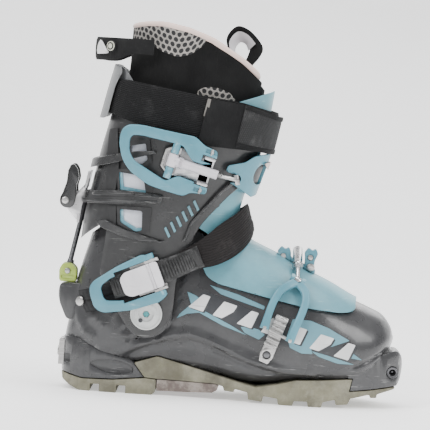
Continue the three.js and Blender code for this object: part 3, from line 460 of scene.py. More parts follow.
def noiseNode(tree, vector, scale, detail=3.0, rough=0.55):
    node = addNode(tree, "ShaderNodeTexNoise")
    tree.links.new(vector, node.inputs["Vector"])
    node.inputs["Scale"].default_value = scale
    node.inputs["Detail"].default_value = detail
    node.inputs["Roughness"].default_value = rough
    return node.outputs["Fac"]


def stretched(tree, vector, size, turn=(0, 0, 0)):
    node = addNode(tree, "ShaderNodeMapping", vector_type="POINT")
    tree.links.new(vector, node.inputs["Vector"])
    node.inputs["Scale"].default_value = size
    node.inputs["Rotation"].default_value = turn
    return node.outputs[0]


def groupGrain():
    # fine moulded texture and slow blotches
    tree, given, result = newGroup("grain", ["Height", "Blotch"])
    place = given["Vector"]
    tree.links.new(noiseNode(tree, place, 900, 2), result["Height"])
    tree.links.new(noiseNode(tree, place, 28, 5, 0.6), result["Blotch"])


def groupScratches():
    # thin marks in three directions, broken up by patches
    tree, given, result = newGroup("scratches", ["Mask"], Amount=0.5)
    place, amount = given["Vector"], given["Amount"]
    total = None
    for turn, size in (((0, 0.35, 0.1), (30, 40, 700)), ((0, 1.25, 0), (60, 50, 900)),
            ((0.2, -0.5, 0.9), (25, 60, 620))):
        lines = rampNode(tree, noiseNode(tree, stretched(tree, place, size, turn), 1.0, 2), 0.665, 0.70)
        total = lines if total is None else mathNode(tree, "MAXIMUM", total, lines)
    patches = rampNode(tree, noiseNode(tree, place, 22, 4, 0.7), 0.50, 0.64)
    broken = mathNode(tree, "MULTIPLY", mathNode(tree, "MULTIPLY", total, patches), amount, clamp=True)
    tree.links.new(broken, result["Mask"])


def groupEdgeWear():
    # worn corners: where the surface turns outwards, broken by noise
    tree, given, result = newGroup("edgeWear", ["Mask"], Amount=0.5)
    place, amount = given["Vector"], given["Amount"]
    geometry = addNode(tree, "ShaderNodeNewGeometry")
    corner = rampNode(tree, geometry.outputs["Pointiness"], 0.53, 0.62)
    rough = rampNode(tree, noiseNode(tree, place, 120, 5, 0.7), 0.42, 0.62)
    worn = mathNode(tree, "MULTIPLY", mathNode(tree, "MULTIPLY", corner, rough), amount, clamp=True)
    tree.links.new(worn, result["Mask"])


def groupDust():
    # pale dirt in hollows and in scattered patches
    tree, given, result = newGroup("dust", ["Mask"], Amount=0.3)
    place, amount = given["Vector"], given["Amount"]
    geometry = addNode(tree, "ShaderNodeNewGeometry")
    hollow = rampNode(tree, geometry.outputs["Pointiness"], 0.49, 0.44)
    patches = rampNode(tree, noiseNode(tree, place, 60, 6, 0.75), 0.4, 0.75)
    both = mathNode(tree, "ADD", mathNode(tree, "MULTIPLY", hollow, 0.6), patches)
    tree.links.new(mathNode(tree, "MULTIPLY", both, amount, clamp=True), result["Mask"])


def groupRibs():
    # straight ribs across the Y of a surface's own coordinates, with a fine thread along them
    tree, given, result = newGroup("ribs", ["Height", "Shade"], Pitch=400.0, Thread=1500.0)
    parts = addNode(tree, "ShaderNodeSeparateXYZ")
    tree.links.new(given["Vector"], parts.inputs[0])
    across = mathNode(tree, "MULTIPLY", parts.outputs[1], given["Pitch"])
    along = mathNode(tree, "MULTIPLY", parts.outputs[0], given["Thread"])
    rib = mathNode(tree, "ABSOLUTE", mathNode(tree, "SINE", across))
    thread = mathNode(tree, "MULTIPLY", mathNode(tree, "SINE", along), 0.22)
    height = mathNode(tree, "ADD", rib, mathNode(tree, "MULTIPLY", thread, rib))
    tree.links.new(height, result["Height"])
    # the Shade output is low in the grooves between the ribs, for painted shade there
    tree.links.new(rampNode(tree, rib, 0.0, 0.55), result["Shade"])


def groupWeave():
    # over-and-under threads in two directions
    tree, given, result = newGroup("weave", ["Height"], Pitch=1200.0)
    scaled = addNode(tree, "ShaderNodeVectorMath", operation="SCALE")
    tree.links.new(given["Vector"], scaled.inputs[0])
    tree.links.new(given["Pitch"], scaled.inputs["Scale"])
    parts = addNode(tree, "ShaderNodeSeparateXYZ")
    tree.links.new(scaled.outputs[0], parts.inputs[0])
    one, two = (mathNode(tree, "SINE", parts.outputs[i]) for i in (0, 1))
    tree.links.new(mathNode(tree, "MULTIPLY", one, two), result["Height"])


def groupHoneycomb():
    # distance to the nearest centre of a hexagonal grid, in cells
    tree, given, result = newGroup("honeycomb", ["Distance"], Cell=120.0)
    scaled = addNode(tree, "ShaderNodeVectorMath", operation="SCALE")
    tree.links.new(given["Vector"], scaled.inputs[0])
    tree.links.new(given["Cell"], scaled.inputs["Scale"])
    cell = (1.0, math.sqrt(3), 1.0)
    nearest = None
    for offset in ((0, 0, 0), (0.5, math.sqrt(3) / 2, 0)):
        moved = addNode(tree, "ShaderNodeVectorMath", operation="ADD")
        tree.links.new(scaled.outputs[0], moved.inputs[0])
        moved.inputs[1].default_value = offset
        wrapped = addNode(tree, "ShaderNodeVectorMath", operation="WRAP")
        tree.links.new(moved.outputs[0], wrapped.inputs[0])
        wrapped.inputs[1].default_value = (cell[0] / 2, cell[1] / 2, 1)
        wrapped.inputs[2].default_value = (-cell[0] / 2, -cell[1] / 2, -1)
        flat = addNode(tree, "ShaderNodeVectorMath", operation="MULTIPLY")
        tree.links.new(wrapped.outputs[0], flat.inputs[0])
        flat.inputs[1].default_value = (1, 1, 0)
        size = addNode(tree, "ShaderNodeVectorMath", operation="LENGTH")
        tree.links.new(flat.outputs[0], size.inputs[0])
        distance = size.outputs["Value"]
        nearest = distance if nearest is None else mathNode(tree, "MINIMUM", nearest, distance)
    tree.links.new(nearest, result["Distance"])


for makeGroup in (groupGrain, groupScratches, groupEdgeWear, groupDust, groupRibs, groupWeave, groupHoneycomb):
    makeGroup()


def useGroup(tree, name, vector, **values):
    node = tree.nodes.new("ShaderNodeGroup")
    node.node_tree = groups[name]
    tree.links.new(vector, node.inputs["Vector"])
    for key, value in values.items():
        node.inputs[key].default_value = value
    return node.outputs


def newMaterial(name, roughness, metallic=0.0, coordinate="Object"):
    material = bpy.data.materials.new(name)
    material.use_nodes = True
    tree = material.node_tree
    shader = tree.nodes["Principled BSDF"]
    shader.inputs["Roughness"].default_value = roughness
    shader.inputs["Metallic"].default_value = metallic
    place = tree.nodes.new("ShaderNodeTexCoord").outputs[coordinate]
    return material, tree, shader, place


def bumpInto(tree, shader, heights):
    normal = None
    for height, strength, distance in heights:
        bump = addNode(tree, "ShaderNodeBump")
        bump.inputs["Strength"].default_value = strength
        bump.inputs["Distance"].default_value = distance
        tree.links.new(height, bump.inputs["Height"])
        if normal is not None:
            tree.links.new(normal, bump.inputs["Normal"])
        normal = bump.outputs[0]
    tree.links.new(normal, shader.inputs["Normal"])


def mouldedPlastic(name, color, pale, roughness=0.36, grain=0.25, wear=0.5, scratch=0.5, dusty=0.25, coat=0.0):
    material, tree, shader, place = newMaterial(name, roughness)
    grainOut = useGroup(tree, "grain", place)
    scratches = useGroup(tree, "scratches", place, Amount=scratch)["Mask"]
    edges = useGroup(tree, "edgeWear", place, Amount=wear)["Mask"]
    dust = useGroup(tree, "dust", place, Amount=dusty)["Mask"]
    darker = tuple(c * 0.82 for c in color[:3]) + (1,)
    base = mixColor(tree, rampNode(tree, grainOut["Blotch"], 0.35, 0.7), darker, color)
    base = mixColor(tree, dust, base, tuple(0.5 * a + 0.5 * b for a, b in zip(color, pale)))
    marks = mathNode(tree, "MAXIMUM", scratches, edges)
    tree.links.new(mixColor(tree, marks, base, pale), shader.inputs["Base Color"])
    rough = mathNode(tree, "ADD", rampNode(tree, grainOut["Blotch"], 0.3, 0.75, roughness - 0.05,
        roughness + 0.1), mathNode(tree, "MULTIPLY", mathNode(tree, "MAXIMUM", marks, dust), 0.3), clamp=True)
    tree.links.new(rough, shader.inputs["Roughness"])
    shader.inputs["Coat Weight"].default_value = coat
    bumpInto(tree, shader, [(grainOut["Height"], grain, 0.0001), (scratches, 0.25, -0.00005)])
    return material


def brushedMetal(name, color, roughness=0.28, scratch=0.6):
    material, tree, shader, place = newMaterial(name, roughness, 1.0)
    lines = noiseNode(tree, stretched(tree, place, (90, 900, 900), (0, 0.2, 0)), 1.0, 3)
    scratches = useGroup(tree, "scratches", place, Amount=scratch)["Mask"]
    blotch = useGroup(tree, "grain", place)["Blotch"]
    dull = tuple(c * 0.62 for c in color[:3]) + (1,)
    base = mixColor(tree, rampNode(tree, blotch, 0.4, 0.68), dull, color)
    tree.links.new(mixColor(tree, scratches, base, (0.25, 0.25, 0.25, 1)), shader.inputs["Base Color"])
    tree.links.new(rampNode(tree, lines, 0.3, 0.7, roughness - 0.08, roughness + 0.16),
        shader.inputs["Roughness"])
    bumpInto(tree, shader, [(lines, 0.12, 0.0001), (scratches, 0.3, -0.0001)])
    return material


def wornRubber(name, color, pale, dark):
    material, tree, shader, place = newMaterial(name, 0.85)
    coarse = noiseNode(tree, place, 160, 6, 0.7)
    blotch = useGroup(tree, "grain", place)["Blotch"]
    edges = useGroup(tree, "edgeWear", place, Amount=0.7)["Mask"]
    dust = useGroup(tree, "dust", place, Amount=0.5)["Mask"]
    base = mixColor(tree, rampNode(tree, blotch, 0.38, 0.68), dark, color)
    base = mixColor(tree, dust, base, pale)
    tree.links.new(mixColor(tree, edges, base, pale), shader.inputs["Base Color"])
    tree.links.new(rampNode(tree, coarse, 0.3, 0.7, 0.7, 0.95), shader.inputs["Roughness"])
    bumpInto(tree, shader, [(coarse, 0.35, 0.0004), (noiseNode(tree, place, 1500, 2), 0.3, 0.0001)])
    return material


def webbing(name, color, pale, pitch, thread, ribDepth=0.0005):
    material, tree, shader, place = newMaterial(name, 0.85, coordinate="UV")
    spot = tree.nodes["Texture Coordinate"].outputs["Object"]
    ribs = useGroup(tree, "ribs", place, Pitch=pitch, Thread=thread)
    fuzz = noiseNode(tree, spot, 700, 4, 0.75)
    worn = rampNode(tree, noiseNode(tree, spot, 45, 6, 0.75), 0.5, 0.78)
    # painted shade: the grooves between the ribs are darkened
    grooveShade = tuple(c * 0.35 for c in color[:3]) + (1,)
    base = mixColor(tree, ribs["Shade"], grooveShade, color)
    base = mixColor(tree, mathNode(tree, "MULTIPLY", worn, 0.55), base, pale)
    tree.links.new(mixColor(tree, mathNode(tree, "MULTIPLY", rampNode(tree, fuzz, 0.58, 0.8), 0.5), base, pale),
        shader.inputs["Base Color"])
    shader.inputs["Sheen Weight"].default_value = 0.03
    shader.inputs["Specular IOR Level"].default_value = 0.22
    shader.inputs["Sheen Roughness"].default_value = 0.4
    bumpInto(tree, shader, [(ribs["Height"], 0.8, ribDepth), (fuzz, 0.35, 0.0002)])
    return material


def softCloth(name, color, pale, pitch=2600.0, fuzzAmount=0.4, sheen=0.03):
    material, tree, shader, place = newMaterial(name, 0.92)
    weave = useGroup(tree, "weave", place, Pitch=pitch)["Height"]
    fuzz = noiseNode(tree, place, 480, 5, 0.75)
    blotch = useGroup(tree, "grain", place)["Blotch"]
    base = mixColor(tree, rampNode(tree, blotch, 0.35, 0.72), color,
        tuple(0.72 * a + 0.28 * b for a, b in zip(color, pale)))
    tree.links.new(mixColor(tree, mathNode(tree, "MULTIPLY", rampNode(tree, fuzz, 0.55, 0.8), fuzzAmount), base,
        pale), shader.inputs["Base Color"])
    shader.inputs["Sheen Weight"].default_value = sheen
    shader.inputs["Specular IOR Level"].default_value = 0.22
    shader.inputs["Sheen Roughness"].default_value = 0.45
    bumpInto(tree, shader, [(weave, 0.3, 0.0002), (fuzz, 0.5, 0.0004)])
    return material


looks = {
    # painted shade: near-black plastic for the bottom of the cuff's recesses
    "recess": mouldedPlastic("recessShadePlastic", (0.012, 0.012, 0.013, 1), (0.12, 0.12, 0.12, 1), 0.5, 0.3, 0.3,
    0.3, 0.12),
    "shell": mouldedPlastic("shellPlastic", (0.034, 0.034, 0.036, 1), (0.33, 0.33, 0.325, 1), 0.27, 0.2, 0.6,
    0.45, 0.1, 0.2),
    "cuff": mouldedPlastic("cuffPlastic", (0.023, 0.023, 0.024, 1), (0.34, 0.34, 0.33, 1), 0.3, 0.22, 0.6, 0.5,
    0.1, 0.15),
    "blue": mouldedPlastic("bluePlastic", (0.085, 0.26, 0.33, 1), (0.42, 0.56, 0.6, 1), 0.36, 0.2, 0.55, 0.35,
    0.1),
    "tongue": mouldedPlastic("tonguePlastic", (0.12, 0.31, 0.37, 1), (0.44, 0.6, 0.64, 1), 0.38, 0.25, 0.35,
    0.3, 0.12),
    "black": mouldedPlastic("blackPlastic", (0.007, 0.007, 0.0075, 1), (0.12, 0.12, 0.12, 1), 0.42, 0.3, 0.4,
    0.35, 0.12),
    "window": mouldedPlastic("windowPlastic", (0.6, 0.62, 0.69, 1), (0.75, 0.76, 0.8, 1), 0.4, 0.3, 0.2, 0.4,
    0.3),
    "smoke": mouldedPlastic("smokePlastic", (0.17, 0.175, 0.18, 1), (0.55, 0.55, 0.54, 1), 0.34, 0.25, 0.6, 0.5,
    0.3),
    "lime": mouldedPlastic("limePlastic", (0.42, 0.55, 0.09, 1), (0.66, 0.7, 0.4, 1), 0.42, 0.3, 0.5, 0.3, 0.3),
    "white": mouldedPlastic("whitePlastic", (0.74, 0.72, 0.75, 1), (0.45, 0.45, 0.45, 1), 0.3, 0.12, 0.2, 0.35,
    0.12, 0.3),
    "arch": mouldedPlastic("archPlastic", (0.155, 0.12, 0.105, 1), (0.4, 0.36, 0.32, 1), 0.6, 0.4, 0.5, 0.4,
    0.5),
    "flash": mouldedPlastic("flashInk", (0.13, 0.29, 0.35, 1), (0.16, 0.17, 0.18, 1), 0.35, 0.1, 0.1, 0.5, 0.1),
    "print": mouldedPlastic("whiteInk", (0.72, 0.72, 0.72, 1), (0.3, 0.3, 0.31, 1), 0.35, 0.1, 0.1, 0.5, 0.12),
    "shade": mouldedPlastic("darkInk", (0.03, 0.032, 0.036, 1), (0.2, 0.2, 0.21, 1), 0.35, 0.1, 0.1, 0.5, 0.12),
    "steel": brushedMetal("brushedSteel", (0.62, 0.61, 0.6, 1), 0.3),
    "alloy": brushedMetal("satinAlloy", (0.8, 0.79, 0.8, 1), 0.34, 0.4),
    "rubber": wornRubber("soleRubber", (0.2, 0.19, 0.13, 1), (0.34, 0.325, 0.26, 1), (0.12, 0.112, 0.08, 1)),
    "cloth": softCloth("linerCloth", (0.0035, 0.0035, 0.0037, 1), (0.022, 0.022, 0.022, 1)),
    "binding": softCloth("bindingCloth", (0.66, 0.5, 0.44, 1), (0.8, 0.7, 0.65, 1), 3000.0, 0.5, 0.5),
    "tape": softCloth("loopTape", (0.006, 0.006, 0.0065, 1), (0.035, 0.035, 0.035, 1), 2200.0),
}
print("materials are ready")


# sole line between the shell and the rubber, seen from the side
shellUnderside = [
    (-170, 19), (-150.6, 14.9), (-132, 10.9), (-104, 11.7), (-77.7, 14.9), (-87.7, 27.9), (-66.9, 34.5),
    (6, 17.2),
    (20.3, 14.2), (39.9, 18.4), (54.4, 22.6), (79.2, 24), (104.2, 26), (102, 14.8), (120, 16.5), (143, 19.5),
    (170, 21),
]
soleOutline = [
    (-151, 9), (-147, 21), (-136, 30), (-118, 34), (-90, 34), (-55, 31), (-25, 33), (10, 39), (45, 44.5),
    (75, 46),
    (100, 42.5), (122, 34.5), (138, 24), (146, 12), (148, 3), (146, -9), (138, -19), (122, -30), (100, -40),
    (75, -46.5), (45, -48), (10, -43.5), (-25, -36.5), (-55, -33), (-90, -34), (-118, -34), (-136, -30),
    (-147, -21),
    (-151, -9),
]
fineSole = [tuple(p) for p in smoothLine(soleOutline, 120, closed=True)]
shell = {"wall": 3.5, "collarReach": 84.0, "relief": 1.7, "edge": 0.7, "steps": 150, "sides": 104}


def segmentDistance(points, a, b):
    # distance in the side view from points (n, 2) to one stretch
    a, b = np.array(a, float), np.array(b, float)
    d = b - a
    f = np.clip(((points - a) @ d) / (d @ d), 0, 1)
    return np.linalg.norm(points - (a + f[:, None] * d), axis=1)


def lineDistance(points, line):
    return np.min([segmentDistance(points, line[i], line[i + 1]) for i in range(len(line) - 1)], axis=0)


def insideOutline(points, outline):
    x, z = points[:, 0], points[:, 1]
    hit = np.zeros(len(points), bool)
    for i in range(len(outline)):
        (ax, az), (bx, bz) = outline[i - 1][:2], outline[i][:2]
        crosses = (az > z) != (bz > z)
        with np.errstate(divide="ignore", invalid="ignore"):
            at = (bx - ax) * (z - az) / (bz - az) + ax
        hit ^= crosses & (x < at)
    return hit


def pushed(ring, amount):
    # moves a ring's points outwards in its own plane by an amount for each point
    before, after = np.roll(ring, 1, axis=0), np.roll(ring, -1, axis=0)
    along = after - before
    along /= np.maximum(np.linalg.norm(along, axis=1)[:, None], 1e-9)
    middle = ring.mean(axis=0)
    plane = np.cross(ring[0] - middle, ring[len(ring) // 4] - middle)
    plane /= np.linalg.norm(plane)
    out = np.cross(along, plane)
    flip = np.sign(np.sum(out * (ring - middle), axis=1))[:, None]
    return ring + out * flip * np.asarray(amount)[:, None]


# the shell's sculpted lines: a ridge over the arch, a channel below it and a crease over the toe
archRidge = smoothLine([(-100, 36), (-86, 42), (-62, 52), (-38, 56), (-12, 48), (14, 38), (42, 31), (70, 30)],
    60)
archChannel = smoothLine([(-92, 33), (-80, 40), (-58, 47), (-38, 49), (-14, 42), (10, 33), (34, 27)], 60)
toeCrease = [(104, 36), (118, 43), (131, 50), (142, 56)]
heelRidges = [[(-144, 76), (-132, 52), (-112, 40)], [(-124, 66), (-108, 52), (-92, 44)]]
earOutline = roundCorners([(-112, 92), (-103, 70), (-93, 55), (-82, 47.5), (-70, 48), (-58, 57), (-51, 74),
    (-50, 100), (-38, 130), (-100, 130)], 8)


def shellRelief(ring):
    spots = ring[:, [0, 2]]
    sideways = np.clip((np.abs(ring[:, 1]) - 14) / 16, 0, 1)
    amount = np.zeros(len(ring))
    amount += 1.5 * np.exp(-((lineDistance(spots, archRidge) / 3.2) ** 2))
    amount -= 1.3 * np.exp(-((lineDistance(spots, archChannel) / 2.4) ** 2))
    amount -= 1.6 * np.exp(-((lineDistance(spots, toeCrease) / 2.2) ** 2))
    for ridge in heelRidges:
        amount += 1.2 * np.exp(-((lineDistance(spots, ridge) / 2.6) ** 2))
    ear = insideOutline(spots, earOutline)
    amount -= np.where(ear, 0.9, 0.0)
    return pushed(ring, amount * sideways * shell["relief"])


def collarCutter(name):
    outline = [(-172, 128), (-20, 112), (30, 220), (-172, 260)]
    made = sideSolid(name, outline, -90, 90)
    drum = drumSolid(name + "Drum", shell["collarReach"])
    return cut(made, drum)


def makeLowerShell():
    made = loft("lowerShell", footRows, 0, 17.6, shell["steps"], shell["sides"], relief=shellRelief)
    ledge = [(-151.5, 10), (-153.7, 22), (-153.7, 40), (-150, 46), (-138, 46), (-118, 36), (-92, 30), (-70, 20),
        (-70, 10)]
    heel = keep(sideSolid("ledge", roundCorners(ledge, 3), -60, 60), planSolid("ledgePlan", fineSole, 0, 60))
    lug = [(100, 14), (100, 40), (126, 46), (136, 50), (142, 51), (146.5, 46), (148, 37), (146, 25),
        (142.5, 18), (141, 14)]
    toe = keep(sideSolid("lug", roundCorners(lug, 4), -60, 60), planSolid("lugPlan", fineSole, 0, 60))
    knob = [(-138, 60), (-149.3, 60), (-156.3, 73.6), (-158, 82), (-157, 90.5), (-150, 92), (-132, 92)]
    knobPlan = [(-159, 8), (-150, 15), (-130, 20), (-130, -20), (-150, -15), (-159, -8)]
    anchor = keep(sideSolid("knob", roundCorners(knob, 3), -30, 30),
        planSolid("knobPlan", roundCorners(knobPlan, 4), 50, 110))
    join(made, heel, toe, anchor)
    for side in (-1, 1):
        spot = (ankle["x"], ankle["z"])
        join(made, rodSolid("boss", (spot[0], side * 36, spot[1]), (spot[0], side * 46.6, spot[1]), 21, 64))
    under = [(x, z + 0.35) for x, z in shellUnderside]
    above = sideSolid("above", under + [(170, 300), (-170, 300)], -80, 80)
    join(above, blockSolid("archFloor", (-80, -22.6, 16.8), (10, 22.6, 60)))
    keep(made, above)
    cut(made, collarCutter("collar"))
    throat = smoothLine([(97, 92.5), (60, 91), (28, 98), (-18, 108), (-29, 122), (-33, 150)], 30)
    cut(made, sideSolid("throat", [tuple(p) for p in throat] + [(60, 190), (120, 140)], -90, 90))
    hollow = loft("hollow", footRows, 0.6, 18, 60, 48, -shell["wall"])
    for side in (-1, 1):
        arch = [(-99, 0), (-99, 26), (-89, 32), (-67, 39), (12, 21), (12, 0)]
        cut(hollow, sideSolid("archRoom", arch, *sorted((side * 19.5, side * 60))))
    cut(made, hollow)
    cut(made, drumSolid("pivotHole", 6.2, 70, 40))
    cut(made, rodSolid("pinHole", (139, -40, 31.6), (139, 40, 31.6), 5.3, 40))
    cut(made, blockSolid("insertRoom", (-170, -15.4, 19.6), (-148.6, 15.4, 42.4)))
    cut(made, rodSolid("screwHole", (-150, 0, 31), (-147.6, 0, 31), 2.6, 20))
    for low, high in ((-60, -18), (18, 60)):
        cut(made, blockSolid("slot", (-170, low, 23.3), (-143, high, 30.7)))
    # shallow oval hollow in the heel's side
    oval = [(-125, 24), (-119, 27.5), (-103, 28), (-91, 25), (-88, 19.5), (-95, 17.5), (-108, 17), (-118, 20)]
    fineOval = [tuple(p) for p in smoothLine(oval, 32, closed=True)]
    for side in (-1, 1):
        cut(made, sideSolid("oval", fineOval, *sorted((side * 31.8, side * 60))))
    rounded(made, shell["edge"], 42, 36)
    return finishPiece(made, "shell", "lower", ["lower_shell"])


makeLowerShell()
print("lower shell is made")


# sheets and bands wrapped on the rows
def wrapPoints(rows, tRange, grow, angles, lowLine, highLine, shares):
    # for every angle, the points of the grown surface that lie the given shares of the way
    # between two side-view lines
    ts = np.linspace(tRange[0], tRange[1], 160)
    rings = np.array([ringPoints(rows, t, grow, angles) for t in ts])
    low, high = np.array(lowLine, float), np.array(highLine, float)
    made = np.zeros((len(angles), len(shares), 3))
    for k in range(len(angles)):
        x, z = rings[:, k, 0], rings[:, k, 2]
        bottom = np.interp(x, low[:, 0], low[:, 1])
        top = np.interp(x, high[:, 0], high[:, 1])
        share = np.maximum.accumulate((z - bottom) / np.maximum(top - bottom, 0.1)) + np.arange(len(ts)) * 1e-9
        at = np.interp(shares, share, np.arange(len(ts)))
        for axis in range(3):
            made[k, :, axis] = np.interp(at, np.arange(len(ts)), rings[:, k, axis])
    return made


def gridSolid(name, inner, outer, closedRound=False, skew=0.0, edge=0.0):
    # two grids of points joined at their borders into one closed band, with a flat layout of
    # its outside in metres
    count, rows = outer.shape[:2]
    middle = (inner + outer) / 2
    if edge > 0:
        soft = np.sqrt(np.clip(1 - (np.abs(np.linspace(-1, 1, rows)) ** (1 / edge)), 0, 1))[None, :, None]
        inner, outer = middle + (inner - middle) * soft, middle + (outer - middle) * soft
    points = np.concatenate([outer.reshape(-1, 3), inner.reshape(-1, 3)])
    half = count * rows
    faces, spans = [], count if closedRound else count - 1
    for k in range(spans):
        n = (k + 1) % count
        for v in range(rows - 1):
            a, b, c, d = k * rows + v, n * rows + v, n * rows + v + 1, k * rows + v + 1
            faces += [(a, b, c, d), (half + d, half + c, half + b, half + a)]
        faces.append((k * rows, half + k * rows, half + n * rows, n * rows))
        faces.append((n * rows + rows - 1, half + n * rows + rows - 1, half + k * rows + rows - 1,
            k * rows + rows - 1))
    if not closedRound:
        for k, flip in ((0, False), (count - 1, True)):
            for v in range(rows - 1):
                a, b = k * rows + v, k * rows + v + 1
                faces.append((a, b, half + b, half + a) if not flip else (half + a, half + b, b, a))
    obj = newObject(name, points, faces)
    steps = np.linalg.norm(np.diff(middle[:, rows // 2], axis=0), axis=1)
    run = np.concatenate([[0], np.cumsum(steps)]) / 1000
    rise = np.concatenate([np.zeros((count, 1)), np.cumsum(np.linalg.norm(np.diff(middle, axis=1), axis=2),
        axis=1)], axis=1) / 1000
    layer = obj.data.uv_layers.new(name="UVMap")
    for loop in obj.data.loops:
        k, v = divmod(loop.vertex_index % half, rows)
        layer.data[loop.index].uv = (run[k], rise[k, v] + skew * run[k])
    return obj


def wrapSolid(name, rows, tRange, growIn, growOut, angles, lowLine, highLine, across=9, closedRound=False,
        skew=0.0, edge=0.0, wave=0.0):
    shares = np.linspace(0, 1, across)
    inner = wrapPoints(rows, tRange, growIn, angles, lowLine, highLine, shares)
    outer = wrapPoints(rows, tRange, growOut, angles, lowLine, highLine, shares)
    if wave > 0:
        for k in range(len(angles)):
            for v in range(across):
                p = Vector(outer[k, v]) * 0.045
                lift = wave * noise.noise(p)
                direction = outer[k, v] - inner[k, v]
                outer[k, v] += direction / max(np.linalg.norm(direction), 1e-6) * lift
    return gridSolid(name, inner, outer, closedRound, skew, edge)


def nodeMaterial(node, look):
    obj = frame["nodes"][node]
    obj.data.materials.clear()
    obj.data.materials.append(looks[look])


def angleAt(rows, t, x):
    # the angle, on the outer side, at which the ring passes x
    angles = np.linspace(-0.1, -math.pi, 400)
    return float(angles[np.argmin(np.abs(ringPoints(rows, t, 3, angles)[:, 0] - x))])


def pillow(name, outline, lowY, highY, corner=2.0, edge=0.8, spacing=1.6):
    # an outline in the side view made into a plate with rounded edges all round
    rounder = [(*spot[:2], max(spot[2] if len(spot) > 2 else corner, edge * 2.4)) for spot in outline]
    fine = np.array(roundCorners(rounder, corner, 6), float)
    dense = []
    for i in range(len(fine)):
        a, b = fine[i - 1], fine[i]
        length = np.linalg.norm(b - a)
        if length < 1e-4:
            continue
        count = max(int(length / spacing), 1)
        dense += [a + (b - a) * k / count for k in range(count)]
    dense = np.array(dense)
    area = 0.5 * np.sum(dense[:, 0] * np.roll(dense[:, 1], -1) - np.roll(dense[:, 0], -1) * dense[:, 1])
    along = np.roll(dense, -1, axis=0) - np.roll(dense, 1, axis=0)
    along /= np.maximum(np.linalg.norm(along, axis=1)[:, None], 1e-9)
    inward = np.stack([-along[:, 1], along[:, 0]], axis=1) * (1 if area > 0 else -1)
    rings = []
    for a in (0, 30, 60, 90):
        rings.append((edge * (1 - math.sin(math.radians(a))), lowY + edge * (1 - math.cos(math.radians(a)))))
    for a in (90, 60, 30, 0):
        rings.append((edge * (1 - math.sin(math.radians(a))), highY - edge * (1 - math.cos(math.radians(a)))))
    made = []
    for inset, y in rings:
        spots = dense + inward * inset
        for _ in range(12):
            # stretches that turned round in a tight corner are drawn together
            turned = np.sum((np.roll(spots, -1, axis=0) - spots) * (np.roll(dense, -1, axis=0) - dense),
                axis=1) < 0
            if not turned.any():
                break
            k = np.flatnonzero(turned)
            ahead = (k + 1) % len(spots)
            middle = (spots[k] + spots[ahead]) / 2
            spots[k], spots[ahead] = middle, middle
        made.append(np.stack([spots[:, 0], np.full(len(spots), y), spots[:, 1]], axis=1))
    obj = stackRings(name, made)
    return smoothShade(obj, 40)


def skinPatch(name, rows, span, steps, sides, inner, outer, outline, lowY, highY, relief=None):
    # the part of a layer of the grown form that an outline cuts out
    patch = loft(name, rows, span[0], span[1], steps, sides, outer, relief)
    cut(patch, loft(name + "In", rows, span[0] - 0.1, span[1] + 0.1, steps, sides, inner, relief))
    return keep(patch, sideSolid(name + "Cut", outline, lowY, highY))


# sole: lugged rubber and the hard insert under the arch
def makeSole():
    sole = {"edge": 0.6, "groove": [(-124, -116), (-101, -93)]}
    side = [(-151, 14.4), (-149.5, 8), (-142, 3.2), (-134, 0), (-70, 0), (-66.8, 3), (-66.8, 13.6),
        (-77.2, 14.3), (-104, 11.2), (-132, 10.4)]
    heel = keep(sideSolid("heelSole", roundCorners(side, 1.2), -60, 60), planSolid("plan", fineSole, -10, 40))
    for low, high in sole["groove"]:
        cut(heel, blockSolid("groove", (low, -60, -5), (high, 60, 6.5)))
    cut(heel, blockSolid("channel", (-160, -4, -5), (-60, 4, 4.5)))
    finishPiece(rounded(heel, sole["edge"], 40, 35), "rubber", "lower", ["heel_outsole"])

    top = [(x, z - 0.45) for x, z in shellUnderside[5:14]]
    side = [(-86.6, 27.2)] + top[1:-2] + [
        (103.6, 25.4), (101.4, 14.3), (120, 16), (142, 18.9), (141.5, 17), (126.4, 12.6), (126, 9.4),
        (120.4, 9.4), (119.4, 12.2),
        (103, 8.5), (101, 3.4), (90.5, 2.6), (89.5, 7.2), (79, 4.6), (78, 0), (66.5, 0), (65.5, 4.4), (54, 4.2),
        (53, 0),
        (40.5, 0.2), (39.5, 5.4), (27.4, 6.6), (26.4, 1.6), (14.4, 2.6), (13.4, 8.8), (2.4, 10.8), (1.4, 8),
        (-7, 8.6),
        (-8, 12.2), (-11.6, 12.9), (-15, 14), (-66, 14.3), (-77, 15)]
    fore = keep(sideSolid("foreSole", roundCorners(side, 1.0), -60, 60), planSolid("plan", fineSole, -10, 40))
    cut(fore, blockSolid("channel", (-10, -5, -5), (130, 5, 7)),
        blockSolid("room", (-92, -23, 16.4), (24, 23, 60)))
    finishPiece(rounded(fore, sole["edge"], 40, 35), "rubber", "lower", ["forefoot_outsole"])
    nodeMaterial("arch_insert", "arch")


makeSole()
print("sole is made")


